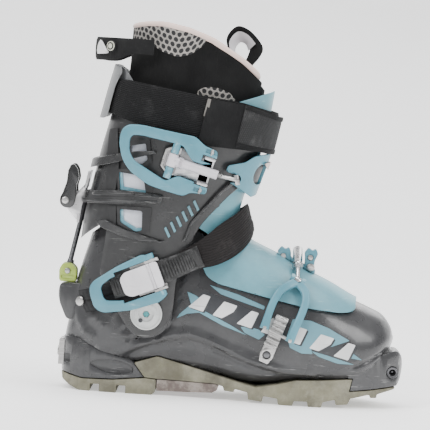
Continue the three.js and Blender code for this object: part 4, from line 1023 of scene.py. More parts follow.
# blue and pale flashes printed along the outer side, with plain slanted bars
def makeFlash():
    flash = {"lift": 0.2, "bar": 13.5, "height": 14.5, "lean": 6.0, "count": 7}
    pieces = [
        ("flashDark", [(-42, 86), (-29, 94), (0, 85.5), (24, 75), (49, 67.5), (79, 59), (103, 52), (106, 41.5),
        (80, 45), (66, 48), (43, 52),
                       (11, 62), (-22, 71), (-38, 77)], "shade", 0.0),
        ("flashStreak", [(-25, 100), (0, 93.5), (24, 84.8), (23.3, 81.8), (-14.6, 92.7)], "flash", 0.1),
        ("flashLeft", [(-55.4, 67.6), (-39.9, 82.4), (-44, 93), (-36.9, 90.4), (-27, 84), (-31, 78.7),
        (-4, 66.5), (10, 59), (-11.3, 65.8),
                       (-32.7, 75.7), (-42.9, 74)], "flash", 0.1),
        ("flashMid", [(4, 66), (14, 66), (20, 64.6), (25.5, 60.6), (20.5, 56), (8, 61)], "flash", 0.1),
        ("flashRight", [(44.4, 61), (48.8, 75.6), (64.4, 75), (80.3, 69.4), (99, 59.6), (84, 54), (66, 50),
        (67.8, 46.8), (58, 46.6),
                        (47.6, 51)], "flash", 0.1),
        ("flashThin", [(66, 49.4), (80, 46.2), (104.5, 39), (90, 39.4), (73, 44.7)], "flash", 0.1),
        ("flashTip", [(97, 52.5), (111, 43), (99, 44.8)], "flash", 0.1),
    ]
    start, end = np.array((-31.0, 84.5)), np.array((97.0, 50.5))
    along = (end - start) / np.linalg.norm(end - start)
    up = np.array((-along[1], along[0]))
    for k in range(flash["count"]):
        spot = start + (end - start) * (k / (flash["count"] - 1))
        w, h, slant = flash["bar"] / 2, flash["height"] / 2, along * flash["lean"] / 2
        if k % 2:
            outline = [spot - along * w - up * h - slant, spot + along * (w - 5) - up * h - slant,
                spot + along * w + up * (h - 6), spot + along * (w - 1.5) + up * h + slant,
                spot - along * w + up * h + slant]
        else:
            outline = [spot - along * w - up * h - slant, spot + along * w - up * h - slant,
                spot + along * (w - 4) + up * h + slant, spot - along * (w - 3) + up * h + slant]
        pieces.append((f"flashEdge{k}", [tuple(p + np.array((1.4, -1.1))) for p in outline], "shade", 0.18))
        pieces.append((f"flashBar{k}", [tuple(p) for p in outline], "print", 0.26))
    for name, outline, look, lift in pieces:
        patch = skinPatch(name, footRows, (1.2, 13), 70, 96, -0.6, flash["lift"] + lift,
            roundCorners(outline, 0.9), -80, 0, shellRelief)
        tidyMesh(patch)
        finishPiece(smoothShade(patch, 30), look, "lower")


makeFlash()
print("flash is made")


# distances from the ankle axis at which the pieces that meet at the bend start or end
bendRoom = {"tongueRear": 109, "bellowsFoot": 109.4, "bellowsTop": 134.1, "cuffLow": 134.5, "liner": 104.5,
    "bellowsWings": 86.8}


# tongue over the instep and the forefoot
def makeTongue():
    tongue = {"outer": 3.6, "inner": 0.5, "edge": 0.8}
    outline = [(103, 92), (103, 86), (99, 83.6), (90, 82.6), (61.6, 85.3), (27.7, 91.9), (-18.8, 101.9),
        (-27.6, 106.9), (-32.4, 115.2), (-31, 124), (-22, 132), (4, 170), (60, 170), (120, 130)]
    keepOut = join(drumSolid("drum", bendRoom["tongueRear"]), blockSolid("fore", (6, -90, 0), (200, 90, 200)))
    made = skinPatch("tongueFoot", footRows, (2.5, 17.6), 90, 96, tongue["inner"], tongue["outer"],
        roundCorners(outline, 5), -90, 90)
    keep(made, keepOut)
    finishPiece(rounded(made, tongue["edge"], 42, 36, 3), "tongue", "lower", ["tongue_foot"])

    front = [(-48, 255), (-17, 257), (17, 269), (26, 274), (60, 284), (60, 130), (-48, 130)]
    shin = skinPatch("tongueShin", cuffRows, (0.3, 9), 60, 96, -7.0, -4.3, front, -60, 60)
    keep(shin, blockSolid("reach", (-46, -60, 100), (80, 60, 300)))
    cut(shin, drumSolid("drum", bendRoom["cuffLow"]))
    finishPiece(rounded(shin, 0.6, 45, 36), "tongue", "cuff", ["tongue_shin"])


makeTongue()
print("tongue is made")

cuff = {"wall": 3.4, "edge": 0.7, "reach": 86.5, "steps": 168, "sides": 128}
cuffOutline = [
    (-142.2, 128.5), (-133.2, 125.3), (-125.2, 110.8), (-115.4, 95.6), (-103.5, 72), (-93.7, 58), (-84, 51.5),
    (-72, 51.5), (-62, 59),
    (-55.5, 74), (-54.2, 103.9), (-44, 131.9), (-36.4, 151.2), (-25.7, 163.9), (-13.1, 178.3), (0, 190),
    (26, 200), (26, 232),
    (-40, 246), (-110, 254), (-130, 243.2), (-150, 243.2), (-150, 128.5),
]
panes = [
    [(-101, 216), (-87.5, 219), (-85.2, 205), (-90, 201), (-100, 202)],
    [(-109.5, 193), (-88, 190.5), (-85, 176.5), (-107.5, 178)],
    [(-106.5, 161), (-87, 160.5), (-86.5, 143.5), (-92, 142.5), (-105.5, 150)],
]
cuffRibs = [
    ([(-142, 196), (-118, 201), (-100, 207.5), (-80, 211)], 2.6, 2.6),
    ([(-146, 168.6), (-120, 170), (-96, 171.6), (-70, 172.4)], 2.4, 2.8),
    ([(-120, 175.4), (-96, 176.8), (-72, 176.8)], 1.5, 1.8),
    ([(-126, 146), (-104, 142), (-79, 136.6), (-51, 131.4)], 2.0, 2.2),
    ([(-46, 134), (-35, 156), (-21, 172), (-8, 185)], 2.4, 1.4),
]
cuffGrooves = [
    ([(-120, 165), (-96, 167), (-72, 168)], 1.4, 1.6),
    ([(-122, 140), (-102, 136), (-78, 130.8), (-52, 125)], 3.4, 1.5),
    ([(-50, 141), (-40, 160), (-27, 176), (-14, 189)], 2.6, 0.9),
    ([(-78, 199), (-66, 190), (-58, 176), (-57, 160), (-64, 148)], 3.0, 0.8),
]


def cuffRelief(ring):
    spots = ring[:, [0, 2]]
    sideways = np.clip((np.abs(ring[:, 1]) - 12) / 16, 0, 1)
    amount = np.zeros(len(ring))
    for line, width, height in cuffRibs:
        amount += height * np.exp(-((lineDistance(spots, line) / width) ** 2))
    for line, width, depth in cuffGrooves:
        amount -= depth * np.exp(-((lineDistance(spots, line) / width) ** 2))
    return pushed(ring, amount * sideways)


def makeCuff():
    made = loft("cuffShell", cuffRows, 0, 9, cuff["steps"], cuff["sides"], 0, cuffRelief)
    fine = [tuple(p) for p in roundCorners(cuffOutline, 7)]
    keep(made, sideSolid("cuffSide", fine, -90, 90))
    for side in (-1, 1):
        channel = [(-121, 229), (-113.5, 231), (-110, 198), (-111.5, 177), (-119.5, 176), (-121.5, 198)]
        lower = [(-118, 163), (-110, 163.4), (-109, 146), (-115, 147)]
        frames = [[(-107, 219.5), (-84.5, 223), (-81, 203), (-90, 197.5), (-107, 199)],
            [(-111, 195.5), (-80, 196), (-79, 178.5), (-110, 179)],
            [(-109.5, 163.6), (-79, 164), (-80, 140.6), (-92, 140.4), (-108, 148)]]
        for outline, depth in [(channel, -1.7), (lower, -1.7)] + [(f, -1.5) for f in frames]:
            layer = skinPatch("recess", cuffRows, (3, 9), 40, 80, depth, 8, roundCorners(outline, 1.6),
                *sorted((side * 20, side * 80)))
            cut(made, layer)
            # a near-black sheet at the bottom of each recess, around the panes: painted shade in the recesses
            shadeLining = skinPatch("recessShadeLining", cuffRows, (3, 9), 40, 80, depth - 0.3, depth + 0.12,
                roundCorners(outline, 1.6), *sorted((side * 20, side * 80)))
            cut(shadeLining, *[sideSolid("pane", roundCorners(pane, 1.8), -70, 70) for pane in panes])
            tidyMesh(shadeLining)
            finishPiece(smoothShade(shadeLining, 30), "recess", "cuff")
    cut(made, loft("cuffHollow", cuffRows, -0.3, 9.3, 60, 96, -cuff["wall"]))
    drum = drumSolid("drum", cuff["reach"], 42.6)
    cut(made, drum, blockSolid("front", (-6, -22, 150), (60, 22, 300)))
    cut(made, blockSolid("rear", (-170, -7.5, 100), (-120, 7.5, 205)),
        blockSolid("rearLow", (-170, -10, 100), (-120, 10, 140)))
    for pane in panes:
        cut(made, sideSolid("pane", roundCorners(pane, 1.8), -70, 70))
    cut(made, drumSolid("pivotHole", 11.4, 70, 64))
    finishPiece(rounded(made, cuff["edge"], 42, 36), "cuff", "cuff", ["cuff_shell"])
    # raised ribs that run from the rear corner towards the buckle, and the lip over the ear
    ribs = [
        (1.9, [(-148, 190), (-132, 195.6), (-112, 201), (-96, 206), (-78, 211), (-79, 213.4), (-97, 211.8),
        (-112, 208.6), (-132, 203), (-148, 198.5)]),
        (1.7, [(-150, 163), (-137, 164), (-110, 165.4), (-71, 168.6), (-70, 175.6), (-96, 177.4), (-120, 176.6),
        (-150, 171.5)]),
        (2.7, [(-132, 171), (-96, 173), (-71, 172.6), (-71, 174.8), (-96, 175.8), (-132, 174)]),
        (2.6, [(-146, 165), (-120, 166), (-96, 167.4), (-74, 169.2), (-74, 170.4), (-96, 169.8), (-120, 168.6),
        (-146, 167.6)]),
        (1.8, [(-128, 149.5), (-122, 144), (-103, 137.6), (-79, 132.6), (-52, 127.6), (-50.6, 132),
        (-79, 138.4), (-101, 143.8), (-119, 151)]),
    ]
    ribs.append((1.1, [(-51, 128), (-43, 151.5), (-32.2, 165), (-19.6, 179.5), (-7, 191), (-8.6, 193),
        (-21.4, 181.6), (-34, 167.2), (-45, 153), (-53.6, 129)]))
    for height, outline in ribs:
        for side in (-1, 1):
            rib = skinPatch("cuffRib", cuffRows, (3, 7.4), 60, 110, -0.8, height, roundCorners(outline, 1.6),
                *sorted((side * 9, side * 80)))
            finishPiece(rounded(rib, 0.7, 42, 40, 3), "cuff", "cuff")
    # blue left and lower borders of the window panes, on the outer side
    for k, line in enumerate(([(-109.8, 193.2), (-106.6, 192.4), (-104.6, 180.6), (-85.2, 178.6), (-85, 176.4),
            (-107.6, 177.8)], [(-106.6, 161.2), (-103.6, 161), (-102.8, 151.6), (-91, 145.6), (-86.4, 146),
            (-86.4, 143.4), (-92, 142.4), (-105.6, 150)])):
        trim = skinPatch(f"paneTrim{k}", cuffRows, (3, 8), 30, 60, -3.7, -2.6, line, -80, 0)
        finishPiece(trim, "blue", "cuff")
    # plain slanted bars printed along the front seam, on the outer side
    for k in range(6):
        x, z = -63 + k * 4.7, 139 + k * 4.9
        bar = skinPatch("seamBar", cuffRows, (3, 7), 40, 90, -0.5, 0.16,
            [(x, z), (x + 1.6, z + 1.5), (x - 2.6, z + 9.5), (x - 4.2, z + 8)], -80, 0)
        finishPiece(smoothShade(bar, 40), "flash", "cuff")
    for node in ("window_panel_outer", "window_panel_inner"):
        nodeMaterial(node, "window")


makeCuff()
print("cuff is made")


def makeSpoiler():
    spoiler = {"edge": 0.9}
    plate = [(-150, 243.6), (-111, 254.4), (-98, 254), (-98.5, 264), (-103, 273.5), (-109, 281), (-116, 285.4),
        (-124, 283), (-150, 276)]
    made = skinPatch("rearSpoiler", cuffRows, (6.4, 8.95), 34, 96, -2.8, 0.0, roundCorners(plate, 3), -90, 90)
    bridge = [(-150, 246), (-112, 256.5), (-101, 258), (-150, 258)]
    join(made, skinPatch("bridge", cuffRows, (6.4, 8.95), 30, 96, -6.0, -0.3, bridge, -90, 90))
    tab = [(-150, 228), (-114, 236), (-100, 262), (-150, 262)]
    join(made, skinPatch("tab", cuffRows, (6, 8.95), 30, 96, -6.0, -3.75, tab, -90, 90))
    finishPiece(rounded(made, spoiler["edge"], 44, 36), "smoke", "cuff", ["rear_spoiler"])


def makeSpoilerLip():
    # the spoiler's folded rim stands outside the strap at the rear
    outline = [(-160, 236), (-123.5, 238.5), (-121, 252), (-117.5, 268), (-112, 280), (-115, 285.5),
        (-160, 287)]
    lip = skinPatch("spoilerLip", cuffRows, (6.4, 8.95), 40, 96, 4.2, 6.0, roundCorners(outline, 4), -44, 44)
    finishPiece(rounded(lip, 0.8, 44, 36, 3), "smoke", "cuff")


makeSpoilerLip()
makeSpoiler()
print("spoiler is made")

rim = [(-170, 316), (-118, 316), (-104, 318), (-96, 320), (-78, 321), (-57, 317), (-37, 310), (-23, 301.5),
    (-8.5, 292.5), (5, 281), (16, 269), (60, 232)]


def frontGapAngle(rows, t, gap):
    # the angle at which the ring comes within the given distance of the middle plane, at the front
    angles = np.linspace(math.pi / 2, math.pi, 200)
    return float(angles[np.argmin(np.abs(ringPoints(rows, t, 0, angles)[:, 1] - gap))])


# padded liner: shaft, rolled rim, tongue and the parts inside the shell
def makeLiner():
    liner = {"wall": 8.0, "steps": 96, "rim": (4.9, 3.3), "fill": 0.85}
    open_ = frontGapAngle(linerRows, 5, 21.5)
    angles = np.linspace(-open_, open_, liner["steps"])
    foot = [(-170, 150), (-60, 176), (60, 180)]
    drumFoot = []
    for x in np.linspace(-170, 40, 60):
        reach = 105.0**2 - (x - ankle["x"]) ** 2
        drumFoot.append((x, max(ankle["z"] + math.sqrt(reach) if reach > 0 else 128, 128)))
    shaft = wrapSolid("linerShaft", linerRows, (0, 6), -liner["wall"], 0, angles, drumFoot, rim, 34, edge=0.0,
        wave=0.5)
    softPiece(shaft, "cloth", ["liner_shaft"])

    # the rolled binding follows the shaft's rim
    inner = wrapPoints(linerRows, (0, 6.2), -liner["wall"], angles, foot, rim, [1.0])[:, 0]
    outer = wrapPoints(linerRows, (0, 6.2), 0, angles, foot, rim, [1.0])[:, 0]
    rings = []
    for k in range(len(angles)):
        middle, across = (inner[k] + outer[k]) / 2, outer[k] - inner[k]
        across[2] = 0
        across /= np.linalg.norm(across)
        before, after = (inner[max(k - 1, 0)] + outer[max(k - 1, 0)]) / 2, (inner[min(k + 1,
            len(angles) - 1)] + outer[min(k + 1, len(angles) - 1)]) / 2
        along = (after - before) / np.linalg.norm(after - before)
        up = np.cross(along, across)
        up *= 1 if up[2] > 0 else -1
        taper = min(1, 0.35 + min(k, len(angles) - 1 - k) / 4)
        ring = []
        for j in range(20):
            a = 2 * math.pi * j / 20
            wide, tall = liner["rim"]
            bump = 1 + 0.03 * noise.noise(Vector(middle) * 0.11 + Vector((0, 0, j * 0.3)))
            section = across * math.cos(a) * wide + up * math.sin(a) * tall
            ring.append(middle + up * 1.1 + section * bump * taper)
        rings.append(ring)
    binding = stackRings("linerBinding", rings)
    softPiece(binding, "binding", ["liner_binding"])

    # printed mesh panels on both sides and in front
    panels = [
        ("meshSide", [(-125, 309), (-103.8, 309), (-96.5, 308), (-84.6, 302), (-78.6, 298.5), (-65.3, 294.6),
        (-53.9, 297.5), (-45.6, 304.1), (-36, 314)], rim, (14, 150)),
        ("meshFront", [(-47, 263), (-43, 258), (-34, 256), (-22, 254), (-12, 256)],
        [(-47, 266), (-42, 270), (-36, 271.5), (-27, 270.6), (-18, 267), (-12, 260)], (74, 166)),
    ]
    for name, low, high, span in panels:
        for side in (-1, 1):
            turns = np.radians(np.linspace(span[0], span[1], 90)) * side
            shares = np.linspace(0.02, 0.985, 18)
            base = wrapPoints(linerRows, (2, 6.2), -0.2, turns, low, high, shares)
            over = wrapPoints(linerRows, (2, 6.2), 0.55, turns, low, high, shares)
            ok = [k for k in range(len(turns)) if low[0][0] < over[k, 9,
                0] < low[-1][0] - 0.5 and np.interp(over[k, 9, 0], *np.array(high).T) - np.interp(over[k, 9, 0],
                *np.array(low).T) > 1.5]
            if len(ok) < 3:
                continue
            panel = gridSolid(f"{name}{'Outer' if side < 0 else 'Inner'}", base[ok], over[ok])
            finishPiece(smoothShade(panel, 50), "mesh", "cuff")


def honeycombMaterial():
    material, tree, shader, place = newMaterial("honeycombCloth", 0.85, coordinate="UV")
    spot = tree.nodes["Texture Coordinate"].outputs["Object"]
    distance = useGroup(tree, "honeycomb", place, Cell=182.0)["Distance"]
    innerEdge, outerEdge = rampNode(tree, distance, 0.345, 0.4), rampNode(tree, distance, 0.5, 0.58)
    ring = mathNode(tree, "MULTIPLY", innerEdge, mathNode(tree, "SUBTRACT", 1.0, outerEdge))
    fuzz = noiseNode(tree, spot, 620, 4, 0.7)
    pale = mixColor(tree, rampNode(tree, fuzz, 0.3, 0.7), (0.2, 0.185, 0.17, 1), (0.38, 0.355, 0.33, 1))
    between = mixColor(tree, outerEdge, (0.014, 0.014, 0.015, 1), (0.2, 0.185, 0.17, 1))
    tree.links.new(mixColor(tree, ring, between, pale), shader.inputs["Base Color"])
    bumpInto(tree, shader, [(ring, 0.7, 0.0006), (fuzz, 0.3, 0.0002)])
    return material


looks["mesh"] = honeycombMaterial()
makeLiner()
for node in ("liner_foot", "liner_ankle", "liner_tongue", "footbed"):
    nodeMaterial(node, "cloth")
print("liner is made")


def ribbonSolid(name, rows, thickness, closedRound=False, detail=6, across=6, skew=0.0, edge=0.5):
    # a strap through pairs of lower and upper edge points, rounded and thickened outwards
    count = (len(rows) - 1) * detail
    low = np.array(smoothLine([r[0] for r in rows], count))
    high = np.array(smoothLine([r[1] for r in rows], count))
    middle = (low + high) / 2
    ahead = np.gradient(middle, axis=0)
    out = np.cross(ahead, high - low)
    out /= np.linalg.norm(out, axis=1)[:, None]
    shares = np.linspace(0, 1, across)[None, :, None]
    base = low[:, None] * (1 - shares) + high[:, None] * shares
    return gridSolid(name, base, base + out[:, None] * thickness, closedRound, skew, edge)


# power strap with its second layer and the front patch
def makePowerStrap():
    low = [(-130, 244.5), (-122.4, 243), (-80, 231), (-30.7, 220.5), (-4, 219), (24.9, 216.5), (60, 214)]
    high = [(-130, 273.6), (-118.5, 273), (-104, 272.5), (-41.4, 263.4), (-6.1, 259.4), (23, 252), (60, 243)]
    angles = np.linspace(-math.pi, math.pi, 180, endpoint=False)
    band = wrapSolid("powerStrap", cuffRows, (5, 9.4), 1.0, 3.7, angles, low, high, 15, True, 0.55, 0.3, 0.45)
    softPiece(band, "powerWeb", ["power_strap"])
    lowTwo, highTwo = [(x, z - 0.3) for x, z in low], [(x, z - 1.6) for x, z in high]
    start = angleAt(cuffRows, 7, -40)
    span = np.linspace(start, math.radians(-157), 44)
    second = wrapSolid("powerStrapEnd", cuffRows, (5, 9.4), 3.75, 5.6, span, lowTwo, highTwo, 13, False, 0.0,
        0.3, 0.35)
    softPiece(second, "tape")
    cutEdge = wrapSolid("frayedEdge", cuffRows, (5, 9.4), 4.2, 6.2, np.linspace(start + 0.012, start - 0.02, 5),
        [(x, z + 24) for x, z in lowTwo], highTwo, 24, False, 0.0, 0.3, 1.6)
    softPiece(cutEdge, "fray")
    span = np.linspace(angleAt(cuffRows, 7, -9), math.radians(-190), 60)
    lowThree = [(-60, 221), (-12, 221.5), (0, 219.2), (25, 215), (60, 213)]
    highThree = [(-60, 262), (-12, 258.4), (0, 257), (25, 249), (60, 240)]
    patch = wrapSolid("powerPatch", cuffRows, (5, 9.4), 4.4, 6.9, span, lowThree, highThree, 15, False, 1.1,
        0.25, 0.3)
    softPiece(patch, "patch", ["power_strap_patch"])
    for name, lowEdge, highEdge in (("patchHemTop", [(x, z - 4) for x, z in highThree], highThree),
            ("patchHemLow", lowThree, [(x, z + 4) for x, z in lowThree])):
        hem = wrapSolid(name, cuffRows, (5, 9.4), 6.5, 7.6, span, lowEdge, highEdge, 7, False, 0.0, 0.4, 0.2)
        softPiece(hem, "tape")


looks["powerWeb"] = webbing("powerWebbing", (0.006, 0.006, 0.0065, 1), (0.04, 0.04, 0.04, 1), 1500.0, 900.0,
    0.0005)
looks["patch"] = webbing("patchWebbing", (0.026, 0.026, 0.027, 1), (0.11, 0.11, 0.11, 1), 1300.0, 700.0, 0.0006)
looks["fray"] = softCloth("frayedThread", (0.1, 0.093, 0.085, 1), (0.4, 0.38, 0.35, 1), 900.0, 0.8)
makePowerStrap()
print("power strap is made")


def makeLoops():
    loop = {"thickness": 2.6}
    line = [(-86, -48.6), (-104, -45.5), (-120, -34), (-131, -20), (-138, -7), (-138, 7), (-131, 20),
        (-120, 34), (-104, 45.5), (-86, 48.6)]
    rows = [((x, y, 288.5 if 1 < i < 8 else 295), (x, y, 308.5)) for i, (x, y) in enumerate(line)]
    rear = ribbonSolid("rearPullLoop", rows, loop["thickness"], False, 8, 9)
    softPiece(rear, "tape", ["rear_pull_loop"])
    label = ribbonSolid("loopLabel", [((-134.6, -16.4, 293.6), (-132.6, -19.4, 306)),
        ((-129.6, -24.4, 294), (-130.4, -22.9, 304.4)), ((-125.2, -30.2, 294.6), (-126, -29.3, 297))], 3.1,
        False, 5, 5)
    softPiece(label, "print")
    for ring, look, depth in ((4.7, "tape", 0.0), (4.2, "ringPale", 0.5), (3.3, "tape", 0.8),
            (2.2, "ringPale", 1.0)):
        disc = rodSolid("badge", (-122.6, -35.4, 301),
            (-122.6 - 0.62 * (1.6 + depth), -35.4 - 0.78 * (1.6 + depth), 301), ring, 32)
        finishPiece(smoothShade(disc, 40), look, "cuff", ["rear_loop_badge"] if ring > 4.5 else ())
    outerEdge = [(-20, -15, 301), (-23.5, -16, 314), (-16, -16.5, 324.2), (-6, -16.5, 322), (3, -16, 314),
        (7.2, -15, 307), (5, -13, 300), (-1, -11, 292)]
    innerEdge = [(-15, -4, 299), (-16.5, -3, 307), (-12.5, -2, 313), (-7.5, -2, 311.5), (-4.5, -2, 306),
        (-5.5, -3, 301), (-7, -4, 297), (-9.5, -5, 292)]
    front = ribbonSolid("frontPullLoop", list(zip(outerEdge, innerEdge)), 2.0, False, 8, 9)
    softPiece(front, "tape", ["front_pull_loop"])
    rows = [(np.array(a) * 0.72 + np.array(b) * 0.28 + np.array((0, -2.4, -1)),
        np.array(b) * 1.1 - np.array(a) * 0.1 + np.array((0, -2.8, -1))) for a,
        b in list(zip(outerEdge, innerEdge))[:5]]
    white = ribbonSolid("loopLining", [(tuple(a), tuple(b)) for a, b in rows], 0.8, False, 8, 7)
    softPiece(white, "white")


looks["ringPale"] = mouldedPlastic("badgeInk", (0.55, 0.55, 0.46, 1), (0.7, 0.7, 0.65, 1), 0.5, 0.2, 0.2, 0.2,
    0.1)
makeLoops()
print("loops are made")


def onHinge(hinge, distance, across=0.0, y=None):
    # a point that lies a distance behind a hinge's axis and some way along it
    ax, az = hinge["axis"]
    return (hinge["x"] - az * distance + ax * across, hinge["y"] if y is None else y,
        hinge["z"] + ax * distance + az * across)


def hingePlate(name, hinge, corners, lowY, highY, corner=1.5, bevel=0.35):
    outline = [onHinge(hinge, distance, across)[::2] for distance, across in corners]
    made = sideSolid(name, roundCorners(outline, corner), lowY, highY)
    return softenEdges(made, bevel, 2, 40) if bevel > 0 else made


def domed(name, start, end, radius, sides=40, dome=0.5):
    # a rivet head: a short drum with a rounded end
    start, end = np.array(start, float), np.array(end, float)
    along = (end - start) / np.linalg.norm(end - start)
    side = np.cross(along, (0, 0, 1) if abs(along[2]) < 0.9 else (1, 0, 0))
    side /= np.linalg.norm(side)
    up = np.cross(along, side)
    rings = []
    for f, share in ((0, 1), (0.55, 1), (0.8, 0.93), (0.94, 0.78), (1.0, 0.45 * (1 - dome) + 0.2)):
        turns = np.linspace(0, 2 * math.pi, sides, endpoint=False)
        middle, wide = start + (end - start) * f, radius * share
        rings.append([middle + wide * (math.cos(a) * side + math.sin(a) * up) for a in turns])
    return smoothShade(stackRings(name, rings), 30)


# ankle pivots: a ring, a face with a socket and a small mark
def makePivots():
    pivot = {"face": 13.8, "ring": 9.6, "hex": 3.2}
    for side, name in ((-1, "outer"), (1, "inner")):
        def at(y):
            return (ankle["x"], side * y, ankle["z"])
        head = rodSolid("pivotHead", at(51.7), at(54.4), pivot["face"], 72)
        cut(head, rodSolid("step", at(53.9), at(56), 12.4, 72))
        join(head, rodSolid("ring", at(53), at(54.5), pivot["ring"], 72))
        cut(head, rodSolid("dish", at(53.7), at(56), 6.4, 64),
            rodSolid("socket", at(52.2), at(57), pivot["hex"], 6))
        join(head, rodSolid("stem", at(38), at(52), 3.3, 24))
        finishPiece(rounded(head, 0.25, 35, 30), "pivot", "lower", [f"pivot_screw_{name}"])
        mark = rodSolid("pivotMark", (ankle["x"] - 4.6, side * 54.2, ankle["z"] - 5.6),
            (ankle["x"] - 4.6, side * 54.72, ankle["z"] - 5.6), 1.9, 24)
        finishPiece(smoothShade(mark, 30), "shade", "lower")
        core = rodSolid("pivotCore", at(52.3), at(53.2), 2.6, 6)
        finishPiece(core, "teal", "lower")
        nodeMaterial(f"pivot_sleeve_{name}", "alloy")


looks["pivot"] = mouldedPlastic("pivotEnamel", (0.62, 0.63, 0.62, 1), (0.3, 0.3, 0.3, 1), 0.28, 0.08, 0.3, 0.5,
    0.1, 0.3)
looks["teal"] = mouldedPlastic("tealPlastic", (0.05, 0.3, 0.32, 1), (0.3, 0.5, 0.5, 1), 0.35, 0.1, 0.3, 0.3,
    0.1)
makePivots()


# walk mechanism: lever with its cheeks, bracket, bar and the green fork
def makeWalk():
    walk = {"pin": (-156.3, 164.1), "bar": (-151.0, 102.0), "lean": 11.0, "reach": 63.0}
    px, pz = walk["pin"]
    cheek = [(-157.3, 157.6), (-150.9, 157.6), (-148.2, 161.4), (-146.8, 170.3), (-147.5, 178), (-145.3, 184),
        (-147, 192), (-150, 196.2), (-153.4, 195.6), (-155.2, 190), (-155.9, 181), (-158.2, 172.3),
        (-161.4, 166), (-160.8, 160.6)]
    made = pillow("walkLever", cheek, -16.4, -12.6, 3, 0.8)
    join(made, pillow("cheek", cheek, 12.6, 16.4, 3, 0.8))
    web = [(-158.6, 172), (-155.9, 180.5), (-155.3, 190.5), (-153, 195.4), (-150.6, 195.6), (-151.4, 190),
        (-151.8, 180), (-154.6, 172)]
    join(made, sideSolid("web", web, -16.3, 16.3))
    cut(made, rodSolid("pinHole", (px, -30, pz), (px, 30, pz), 2.4, 24))
    groove = [(-156.2, 173.5), (-154.2, 181), (-153.6, 189), (-152.4, 189), (-152.6, 180.5), (-154.6, 172.6)]
    cut(made, sideSolid("groove", groove, -18, -16.0), sideSolid("groove", groove, 16.0, 18))
    tidyMesh(made)
    finishPiece(smoothShade(made, 40), "glossBlack", "walk_lever", ["walk_lever"])
    for side in (-1, 1):
        head = domed("leverPinHead", (px, side * 15.5, pz), (px, side * 17.8, pz), 3.2)
        finishPiece(head, "steel", "cuff", ["lever_pin"] if side < 0 else ())
    shaft = smoothShade(rodSolid("leverPin", (px, -15.6, pz), (px, 15.6, pz), 2.1, 24), 30)
    finishPiece(shaft, "steel", "cuff")

    cheekPlate = [(-141, 146), (-146.5, 147.6), (-153.6, 155.4), (-160, 162.4), (-158.4, 168.8), (-150, 169.6),
        (-146, 172), (-140, 179), (-136, 184), (-134, 182), (-138.5, 165), (-140.5, 146)]
    bracket = None
    for low, high in ((-12, -9), (9, 12)):
        plate = sideSolid("bracketCheek", roundCorners(cheekPlate, 1.2), low, high)
        bracket = plate if bracket is None else join(bracket, plate)
    rear = [(-170, 145), (-120, 145), (-120, 191), (-170, 191)]
    feet = skinPatch("feet", cuffRows, (3, 6.2), 24, 96, 0.35, 2.6, rear, -14, 14)
    hole = [(-170, 152.5), (-120, 152.5), (-120, 175.5), (-170, 175.5)]
    cut(feet, sideSolid("feetGap", hole, -20, 20), blockSolid("middle", (-170, -9, 140), (-120, 9, 184)))
    join(bracket, feet)
    cut(bracket, loft("cuffRoom", cuffRows, 2, 7, 30, 96, 0.35))
    cut(bracket, rodSolid("pinHole", (px, -30, pz), (px, 30, pz), 2.4, 24))
    finishPiece(rounded(bracket, 0.45, 40, 35), "alloy", "cuff", ["lever_bracket"])

    bx, bz = walk["bar"]
    lean = math.radians(walk["lean"])
    eye = rodSolid("lockBar", (bx, -2.8, bz), (bx, 2.8, bz), 4.6, 36)
    cut(eye, rodSolid("eyeHole", (bx, -5, bz), (bx, 5, bz), 2.1, 24))
    top = (-151 + walk["reach"] * math.sin(lean), 0, 104 + walk["reach"] * math.cos(lean))
    join(eye, rodSolid("stem", (bx + 0.3, 0, bz + 3.2), top, 2.2, 24),
        rodSolid("stemCollar", (bx + 0.6, 0, bz + 4), (bx + 2, 0, bz + 9.5), 3.0, 24))
    finishPiece(rounded(eye, 0.25, 40, 35), "darkSteel", "lock_bar", ["lock_bar"])

    fork = [(-158, 92.4), (-158.6, 103), (-155.4, 108.7), (-147.4, 108.7), (-142.8, 103.6), (-143, 92.4)]
    block = sideSolid("lockAnchor", roundCorners(fork, 2.4), -9.5, 9.5)
    cut(block, blockSolid("forkSlot", (-170, -3.4, 94.5), (-130, 3.4, 130)),
        rodSolid("forkHole", (bx, -20, bz), (bx, 20, bz), 2.1, 24))
    cut(block, sideSolid("recess", [(-156, 95), (-156, 98), (-145, 98), (-145, 95)], -12, -8.6))
    finishPiece(rounded(block, 0.6, 40, 35), "lime", "lower", ["lock_anchor"])
    head = domed("anchorPin", (bx, -9.2, bz), (bx, -10.8, bz), 2.6)
    finishPiece(head, "steel", "lower")
    nodeMaterial("lock_anchor_pin", "steel")


looks["glossBlack"] = mouldedPlastic("glossBlackPlastic", (0.012, 0.012, 0.013, 1), (0.15, 0.15, 0.15, 1), 0.14,
    0.05, 0.3, 0.35, 0.08, 0.6)
looks["darkSteel"] = brushedMetal("darkSteel", (0.2, 0.2, 0.21, 1), 0.35, 0.4)
makeWalk()
print("walk mechanism is made")


